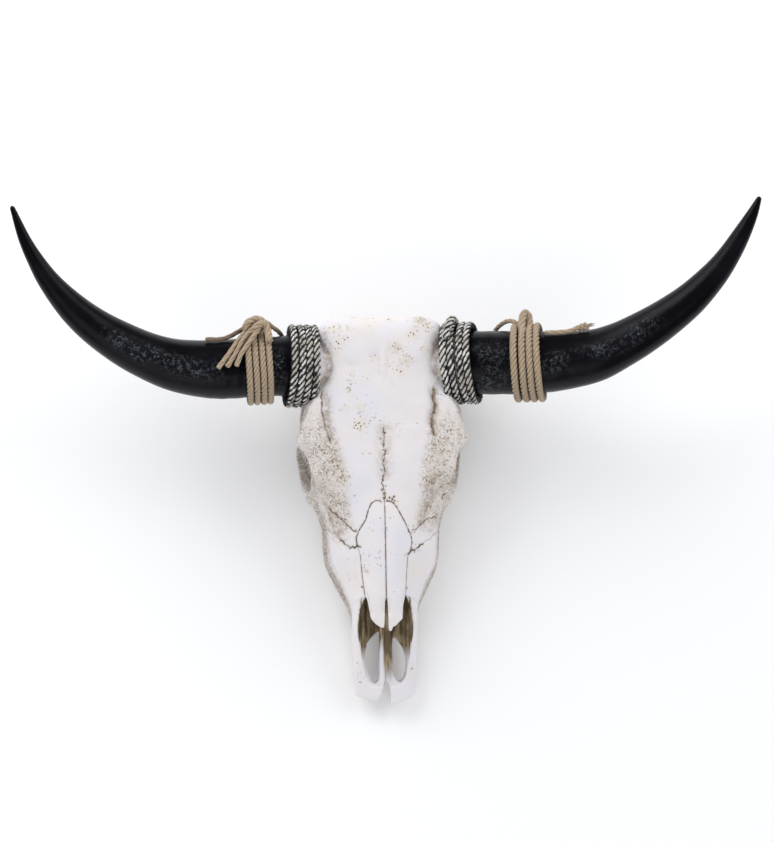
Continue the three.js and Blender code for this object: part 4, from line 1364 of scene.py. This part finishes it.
def make_end_knot():
    """The small knot at the end of the right cord, with its frayed fibres."""
    turn = np.linspace(0, 3.6 * np.pi, 60)
    ahead = np.array([0.95, -0.25, 0.1])
    middle = over_horn(255, 69, 6)
    route = middle + np.outer(turn / turn[-1] * 9 - 4.5, ahead)
    route += np.stack([0 * turn, 3.0 * np.cos(turn), 3.0 * np.sin(turn)], 1)
    pieces = [rope("end_turns", route, 4.6, 22.0, columns=20, strands=3, depth=0.5)]
    random = np.random.default_rng(71)
    for _ in range(9):
        start = middle + ahead * 3.5
        end = start + ahead * random.uniform(7, 14) + random.uniform(-2.2, 2.2, 3) * (0, 1, 0.6)
        bend = (start + end) / 2 + random.uniform(-1, 1, 3)
        fibre = curve_through([start, bend, end], 1.5)
        pieces.append(rope("fibre", fibre, 1.0, 9.0, columns=8, strands=3, depth=0))
    knot = joined("end_knot", pieces)
    knot.name = "tail_right_1_end_knot"
    move_vertices(knot, to_row(vertices(knot)))
    select_only(knot)
    bpy.ops.object.shade_smooth()
    dressed(knot, jute_finish())
    return knot


KNOT_CORDS = {
    "left": [
        [
            (-139.8, 30, -6), (-140.5, 20, 0), (-143, 10, 6), (-148.5, 3, 9), (-154.1, 0.5, 10),
            (-160, 2, 9), (-166, 5.5, 7), (-168.5, 11, 8), (-165, 15.5, 12), (-158, 14.5, 17),
            (-151, 9, 19), (-146, 5, 22),
        ],
        [
            (-142, 12, 12), (-147, 7, 4), (-152.5, 8, 0.5), (-158.5, 13, 1), (-163, 17.5, 4),
            (-166, 20, 12),
        ],
        [
            (-146, 3, 18), (-141, 5, 24), (-135, 9.5, 33), (-127.5, 14.5, 43), (-122.5, 21, 55),
            (-121, 30, 66),
        ],
        [(-156, 16, 14), (-161, 10, 18), (-167, 11, 20), (-170, 16, 26)],
    ],
    "right": [
        [
            (178, 26, 2), (178.5, 14, 10), (180.5, 4, 16), (184, -2, 19), (188, 1, 21), (189.5, 8, 20),
            (189, 16, 15), (187, 22, 8),
        ],
        [(171, 20, 14), (178, 12, 20), (184, 9, 24), (189, 12, 27), (193, 17, 27)],
        [
            (175, 12, 19), (170, 8.5, 25), (164, 7.5, 32), (157.5, 10.5, 41), (152, 16, 51),
            (148, 24, 61),
        ],
    ],
}
KNOT_SIZES = {"left": [9.6, 9.0, 6.0, 8.0], "right": [10.0, 8.4, 6.0]}


def make_knot(side, name):
    cords = [
        rope("knot_cord", curve_through(route, 0.8), size, 1.3 * JUTE_LAY, depth=0.65)
        for route, size in zip(KNOT_CORDS[name], KNOT_SIZES[name])
    ]
    if side < 0:
        cords.append(ball("knot_core", (-154, 10.5, 19), (10, 6.5, 8), 24))
    return settled(joined("knot", cords), "knot_" + name, jute_finish())


BAND_OFFSETS = {-1: [4.8, 14.0, 23.0, 32.4], 1: [5.0, 14.7, 25.9, 34.4]}
BAND_KNOB = [(79.5, 30, -6), (82, 19, 0), (86, 9.5, 7), (91, 4.5, 16), (95, 6.5, 26), (98, 12, 36)]
LASHING_OFFSETS = {-1: [4.6, 12.7, 21.0, 29.2], 1: [4.4, 14.7, 24.1, 33.5]}
PAINTED_TO = {-1: 78.5, 1: 72.5}


# The finishes darken the turns by this share as painted shade between them.
def recess_shade_share(points, side, wound):
    """How deep a point lies between the turns that are wound round a horn, 0 on their crests."""
    axis = horn_line(side, 1.0)
    upright = 2 * points - leaning(points, side, wound)
    centre = [np.interp(np.abs(upright[:, 0]), np.abs(axis[:, 0]), axis[:, k]) for k in (1, 2)]
    over = np.hypot(upright[:, 1] - centre[0], upright[:, 2] - centre[1]) - wound["inner"]
    return 1 - rise(over / wound["thickness"], 0.62, 0.92)


def make_band(side, name):
    line = winding_line(side, BANDS[side], BAND_OFFSETS[side], 0.7, 51 + side)
    size = BANDS[side]["thickness"] * 1.02
    band = rope("band", line, size, BAND_LAY)
    if side > 0:
        band = joined("band", [band, rope("band_end", curve_through(BAND_KNOB, 0.9), size, BAND_LAY)])
    points = vertices(band)
    lean = BANDS[side]["lean"] * (points[:, 1] - HORNS[side][0][1])
    further = np.abs(points[:, 0]) - lean - PAINTED_TO[side]
    mark(band, "paint", (1 - rise(further, -3, 2.5)) * (points[:, 2] < 20))
    # Painted shade between the band's turns.
    mark(band, "recess_shade", recess_shade_share(points, side, BANDS[side]))
    return settled(band, "band_" + name, band_finish())


def make_lashing(side, name):
    line = winding_line(side, LASHINGS[side], LASHING_OFFSETS[side], 0.35, 61 + side)
    lashing = rope("lashing", line, LASHINGS[side]["thickness"] * 1.01, JUTE_LAY, depth=0.85)
    # Painted shade between the lashing's turns.
    mark(lashing, "recess_shade", recess_shade_share(vertices(lashing), side, LASHINGS[side]))
    return settled(lashing, "lashing_" + name, jute_finish())


# ---------- Finishes ----------
class Finish:
    """A material with its shader, and short ways to add nodes to it."""

    def __init__(self, name, **sockets):
        self.material = bpy.data.materials.new(name)
        self.material.use_nodes = True
        self.nodes = self.material.node_tree.nodes
        self.links = self.material.node_tree.links
        self.shader = self.nodes["Principled BSDF"]
        for socket, value in sockets.items():
            self.shader.inputs[socket.replace("_", " ")].default_value = value

    def add(self, kind, settings=None, **inputs):
        node = self.nodes.new("ShaderNode" + kind)
        for key, value in (settings or {}).items():
            setattr(node, key, value)
        for key, value in inputs.items():
            numbered = key[0] == "i" and key[1:].isdigit()
            self.feed(node.inputs[int(key[1:]) if numbered else key.replace("_", " ")], value)
        return node

    def feed(self, socket, value):
        """Links a socket to another node's output, or sets it to a constant."""
        if isinstance(value, bpy.types.NodeSocket):
            self.links.new(value, socket)
        elif socket.type == "RGBA":
            socket.default_value = (*value, 1)
        else:
            socket.default_value = value

    def place(self):
        return self.add("TexCoord").outputs["Object"]

    def attribute(self, name):
        return self.add("Attribute", {"attribute_name": name}).outputs["Fac"]

    def noise(self, scale, detail=3.0, roughness=0.5, vector=None):
        vector = vector or self.place()
        node = self.add("TexNoise", Vector=vector, Scale=scale, Detail=detail, Roughness=roughness)
        return node.outputs["Fac"]

    def cells(self, scale, feature="F1", vector=None):
        """Distances to scattered points, or to the edges between their cells."""
        node = self.add("TexVoronoi", {"feature": feature}, Vector=vector or self.place(), Scale=scale)
        return node.outputs["Distance"]

    def scaled(self, vector, scale):
        return self.add("Mapping", Vector=vector, Scale=scale).outputs["Vector"]

    def drift(self, scale, amount):
        """A small random shift that bends a pattern."""
        colour = self.add("TexNoise", Vector=self.place(), Scale=scale, Detail=2.0).outputs["Color"]
        centred = self.add("VectorMath", {"operation": "SUBTRACT"}, i0=colour, i1=(0.5, 0.5, 0.5))
        shift = self.add("VectorMath", {"operation": "SCALE"}, i0=centred.outputs["Vector"], Scale=amount)
        return shift.outputs["Vector"]

    def between(self, value, low, high, out_low=0.0, out_high=1.0):
        settings = {"interpolation_type": "SMOOTHSTEP"}
        node = self.add("MapRange", settings, Value=value, i1=low, i2=high, i3=out_low, i4=out_high)
        return node.outputs["Result"]

    def math(self, operation, a, b=0.0):
        return self.add("Math", {"operation": operation}, i0=a, i1=b).outputs["Value"]

    def times(self, a, b):
        return self.math("MULTIPLY", a, b)

    def mixed(self, share, a, b):
        node = self.add("Mix", {"data_type": "RGBA"})
        for number, value in ((0, share), (6, a), (7, b)):
            self.feed(node.inputs[number], value)
        return node.outputs[2]

    def bumped(self, height, distance, strength=1.0, normal=None):
        inputs = {"Height": height, "Distance": distance, "Strength": strength}
        if normal is not None:
            inputs["Normal"] = normal
        return self.add("Bump", **inputs).outputs["Normal"]

    def to_shader(self, socket, value):
        self.links.new(value, self.shader.inputs[socket])

    def ready(self, normal):
        self.to_shader("Normal", normal)
        return self.material


FINISHES = {}


def once(make):
    """A finish is made the first time that a piece asks for it."""
    def finish():
        if make.__name__ not in FINISHES:
            FINISHES[make.__name__] = make()
        return FINISHES[make.__name__]
    return finish


BONE_WHITE = (0.79, 0.745, 0.73)
BONE_COOL = (0.755, 0.735, 0.765)
BONE_CREAM = (0.74, 0.655, 0.55)
BONE_GREY = (0.56, 0.49, 0.42)
# Used both for real stains and for painted shade in the grooves.
STAIN_AND_SHADE_BROWN = (0.25, 0.17, 0.10)
PIT_BROWN = (0.075, 0.052, 0.035)
CAVITY_BROWN = (0.15, 0.105, 0.055)
CAVITY_STREAK = (0.46, 0.36, 0.23)
# The colour of painted shade past the eye sockets' rims, beyond the temple edges and under the cheeks.
SHADE_TAUPE = (0.36, 0.30, 0.255)
ENAMEL = (0.74, 0.68, 0.55)
HORN_BLACK = (0.0045, 0.0045, 0.0060)
HORN_DUSTY = (0.0080, 0.0080, 0.0115)
HORN_SCRATCH = (0.15, 0.165, 0.195)
JUTE_DARK = (0.36, 0.26, 0.165)
JUTE_PALE = (0.60, 0.47, 0.32)
JUTE_TAN = (0.50, 0.37, 0.235)
# The colour of painted shade in the grooves between the strands.
JUTE_GROOVE_SHADE = (0.14, 0.092, 0.05)
# The colour of painted shade between the turns.
JUTE_RECESS_SHADE = (0.13, 0.086, 0.05)
ROPE_BLACK = (0.009, 0.008, 0.008)
ROPE_BROWN = (0.035, 0.031, 0.027)
ROPE_CREAM = (0.50, 0.47, 0.41)
ROPE_SILVER = (0.78, 0.76, 0.72)


@once
def bone_finish():
    made = Finish("bone", Roughness=0.55, Specular_IOR_Level=0.3)
    marks = ("porous", "stain", "flecks", "hollow", "cavity", "tooth", "painted_shade")
    porous, stain, flecks, hollow, cavity, tooth, painted_shade = (made.attribute(name) for name in marks)
    middle = made.noise(150.0, 4.0, 0.6)
    colour = made.mixed(made.between(made.noise(14.0, 4.0, 0.55), 0.42, 0.62), BONE_WHITE, BONE_COOL)
    creamy = made.math("MAXIMUM", made.between(made.noise(9.0, 3.0), 0.50, 0.72, 0.0, 0.5), flecks)
    colour = made.mixed(made.times(creamy, 0.75), colour, BONE_CREAM)
    spongy = made.times(porous, made.between(made.noise(48.0, 4.0, 0.6), 0.36, 0.66, 0.45, 1.25))
    grain = made.times(spongy, made.between(made.noise(330.0, 3.0, 0.6), 0.46, 0.60))
    dusky = made.times(spongy, made.between(made.noise(70.0, 3.0, 0.6), 0.52, 0.68))
    # Painted shade, stippled, past the eye sockets' rims, beyond the temple edges and under the cheeks.
    stippled_shade = made.times(painted_shade, made.between(made.noise(260.0, 4.0, 0.65), 0.36, 0.58, 0.35, 1.0))
    dotted = made.times(spongy, made.between(made.cells(470.0), 0.42, 0.24))
    dotted = made.times(dotted, made.between(made.noise(130.0, 4.0, 0.7), 0.44, 0.58))
    scattered = made.between(made.noise(33.0, 2.0), 0.59, 0.69, 0.0, 0.6)
    sparse = made.math("ADD", scattered, made.times(flecks, 1.4))
    speck = made.times(made.between(made.cells(230.0), 0.27, 0.15), sparse)
    broken = made.times(stain, made.between(middle, 0.38, 0.58, 0.2, 1.15))
    sharp = made.times(made.between(stain, 0.60, 0.88), made.between(middle, 0.40, 0.52, 0.25, 1.0))
    # Painted shade in the grooves, in the brown of the stains.
    sunk_shade = made.times(made.between(hollow, 0.12, 0.8), made.between(middle, 0.3, 0.6, 0.5, 1.0))
    for share, tone in (
        (made.times(spongy, 0.42), BONE_CREAM), (made.times(grain, 0.75), BONE_GREY),
        (made.times(dusky, 0.55), BONE_GREY), (made.times(stippled_shade, 0.8), SHADE_TAUPE),
        (made.times(dotted, 0.75), PIT_BROWN), (made.times(speck, 0.85), PIT_BROWN),
        (broken, STAIN_AND_SHADE_BROWN), (sharp, PIT_BROWN), (made.times(sunk_shade, 0.6), STAIN_AND_SHADE_BROWN),
    ):
        colour = made.mixed(share, colour, tone)
    lanes = made.noise(1.0, 4.0, 0.6, vector=made.scaled(made.place(), (190.0, 26.0, 60.0)))
    deep = made.mixed(made.between(lanes, 0.42, 0.66), CAVITY_BROWN, CAVITY_STREAK)
    colour = made.mixed(cavity, colour, deep)
    enamel = made.mixed(made.between(middle, 0.4, 0.65), ENAMEL, BONE_GREY)
    colour = made.mixed(tooth, colour, enamel)
    made.to_shader("Base Color", colour)
    grain_height = made.times(made.noise(420.0, 4.0, 0.62), made.between(porous, 0.0, 1.0, 0.2, 1.0))
    normal = made.bumped(grain_height, 0.0014)
    normal = made.bumped(made.math("MAXIMUM", speck, dotted), -0.0009, normal=normal)
    normal = made.bumped(made.noise(60.0, 6.0, 0.6), 0.0012, 0.7, normal)
    return made.ready(normal)


@once
def horn_finish():
    made = Finish("horn", Specular_IOR_Level=0.13)
    worn = made.attribute("worn")
    dust = made.noise(12.0, 4.0)
    colour = made.mixed(made.between(dust, 0.45, 0.7), HORN_BLACK, HORN_DUSTY)
    bent_place = made.add("VectorMath", {"operation": "ADD"}, i0=made.place(), i1=made.drift(90.0, 0.006))
    cracks = made.cells(470.0, "DISTANCE_TO_EDGE", bent_place.outputs["Vector"])
    scratch = made.between(cracks, 0.10, 0.035)
    thin = made.times(scratch, made.between(made.noise(190.0, 4.0, 0.7), 0.50, 0.57))
    scraped = made.times(thin, worn)
    colour = made.mixed(made.times(scraped, 0.8), colour, HORN_SCRATCH)
    made.to_shader("Base Color", colour)
    rough = made.between(worn, 0.0, 1.0, 0.3, 0.42)
    made.to_shader("Roughness", made.math("ADD", rough, made.between(dust, 0.3, 0.8, -0.06, 0.08)))
    leather = made.times(made.noise(330.0, 4.0, 0.6), made.between(worn, 0.0, 1.0, 0.06, 1.0))
    normal = made.bumped(leather, 0.0011)
    normal = made.bumped(made.noise(45.0, 5.0, 0.55), 0.0011, 0.6, normal)
    return made.ready(normal)


def fibres(made, around, along):
    """Fine fibres that run along a cord."""
    lanes = made.add("CombineXYZ", X=made.times(made.attribute("turned"), around),
                     Y=made.times(made.attribute("along"), along)).outputs["Vector"]
    return made.noise(1.0, 4.0, 0.65, vector=lanes)


@once
def jute_finish():
    made = Finish("jute", Roughness=0.92, Specular_IOR_Level=0.15, Sheen_Weight=0.25, Sheen_Roughness=0.6)
    height = made.attribute("height")
    fibre = fibres(made, 42.0, 1.6)
    tone = made.mixed(made.between(fibre, 0.36, 0.66), JUTE_DARK, JUTE_PALE)
    tone = made.mixed(made.between(made.noise(28.0, 3.0), 0.40, 0.68, 0.0, 0.5), tone, JUTE_TAN)
    # Painted shade in the grooves between the strands.
    tone = made.mixed(made.between(height, 0.45, 0.0, 0.0, 0.85), tone, JUTE_GROOVE_SHADE)
    # Painted shade between the turns.
    tone = made.mixed(made.times(made.attribute("recess_shade"), 0.75), tone, JUTE_RECESS_SHADE)
    made.to_shader("Base Color", tone)
    normal = made.bumped(fibre, 0.0012)
    normal = made.bumped(made.noise(900.0, 3.0, 0.7), 0.0006, 0.7, normal)
    return made.ready(normal)


@once
def band_finish():
    made = Finish("band_rope", Roughness=0.62, Specular_IOR_Level=0.4)
    height, paint = made.attribute("height"), made.attribute("paint")
    fibre = fibres(made, 34.0, 1.4)
    brushed_and_shaded = made.math("ADD", height, made.between(made.noise(150.0, 4.0, 0.65), 0.3, 0.7, -0.35, 0.3))
    brushed_and_shaded = made.math("ADD", brushed_and_shaded, made.between(fibre, 0.35, 0.65, -0.15, 0.12))
    dark = made.mixed(made.noise(60.0), ROPE_BLACK, ROPE_BROWN)
    pale = made.mixed(made.between(made.noise(40.0), 0.4, 0.6), ROPE_CREAM, ROPE_SILVER)
    # The paint is pale on the strands' crowns; the grooves between the turns are darkened further as
    # painted shade.
    brushed_and_shaded = made.math("SUBTRACT", brushed_and_shaded, made.times(made.attribute("recess_shade"), 0.75))
    colour = made.mixed(made.between(brushed_and_shaded, 0.60, 0.94), dark, pale)
    painted = made.times(paint, made.between(brushed_and_shaded, 0.25, 0.6))
    colour = made.mixed(painted, colour, BONE_WHITE)
    made.to_shader("Base Color", colour)
    normal = made.bumped(fibre, 0.0012)
    normal = made.bumped(made.noise(500.0, 3.0, 0.6), 0.0006, 0.6, normal)
    return made.ready(normal)


# ---------- Floor and light ----------
# Each lamp: its place, its size and its power.
LAMPS = {
    "key_light": ((-1.5, 1.9, 1.7), 2.2, 50), "fill_light": ((2.0, 0.9, 1.5), 2.0, 24),
    "front_light": ((-0.5, -2.1, 1.4), 2.2, 17),
}


def set_stage():
    bpy.ops.mesh.primitive_plane_add(size=14, location=(0, 0, 0))
    floor = bpy.context.object
    floor.name = "floor"
    made = Finish("floor", Roughness=0.9, Specular_IOR_Level=0.1)
    made.shader.inputs["Base Color"].default_value = (0.94, 0.94, 0.94, 1)
    floor.data.materials.append(made.material)
    world = bpy.data.worlds.new("studio")
    world.use_nodes = True
    background = world.node_tree.nodes["Background"].inputs
    background["Color"].default_value = (0.93, 0.95, 1.0, 1)
    background["Strength"].default_value = 0.6
    world.cycles_visibility.glossy = False
    bpy.context.scene.world = world
    bpy.context.scene.view_settings.view_transform = "Standard"
    for name, (place, size, power) in LAMPS.items():
        lamp = bpy.data.lights.new(name, "AREA")
        lamp.size = size
        lamp.energy = power
        light = bpy.data.objects.new(name, lamp)
        bpy.context.scene.collection.objects.link(light)
        light.location = place
        light.rotation_euler = (Vector((0, 0, 0.1)) - Vector(place)).to_track_quat("-Z", "Y").to_euler()


# ---------- The whole ----------
set_camera()
for tail_node in TAILS:
    make_tail(tail_node)
skull_piece = whole_skull()
sculpt(skull_piece)
for bone_name, bone in bones(skull_piece).items():
    finished_bone(bone_name, bone)
for side_sign, side_name in SIDES:
    make_horn(side_sign, side_name)
    make_band(side_sign, side_name)
    make_lashing(side_sign, side_name)
    make_knot(side_sign, side_name)
set_stage()
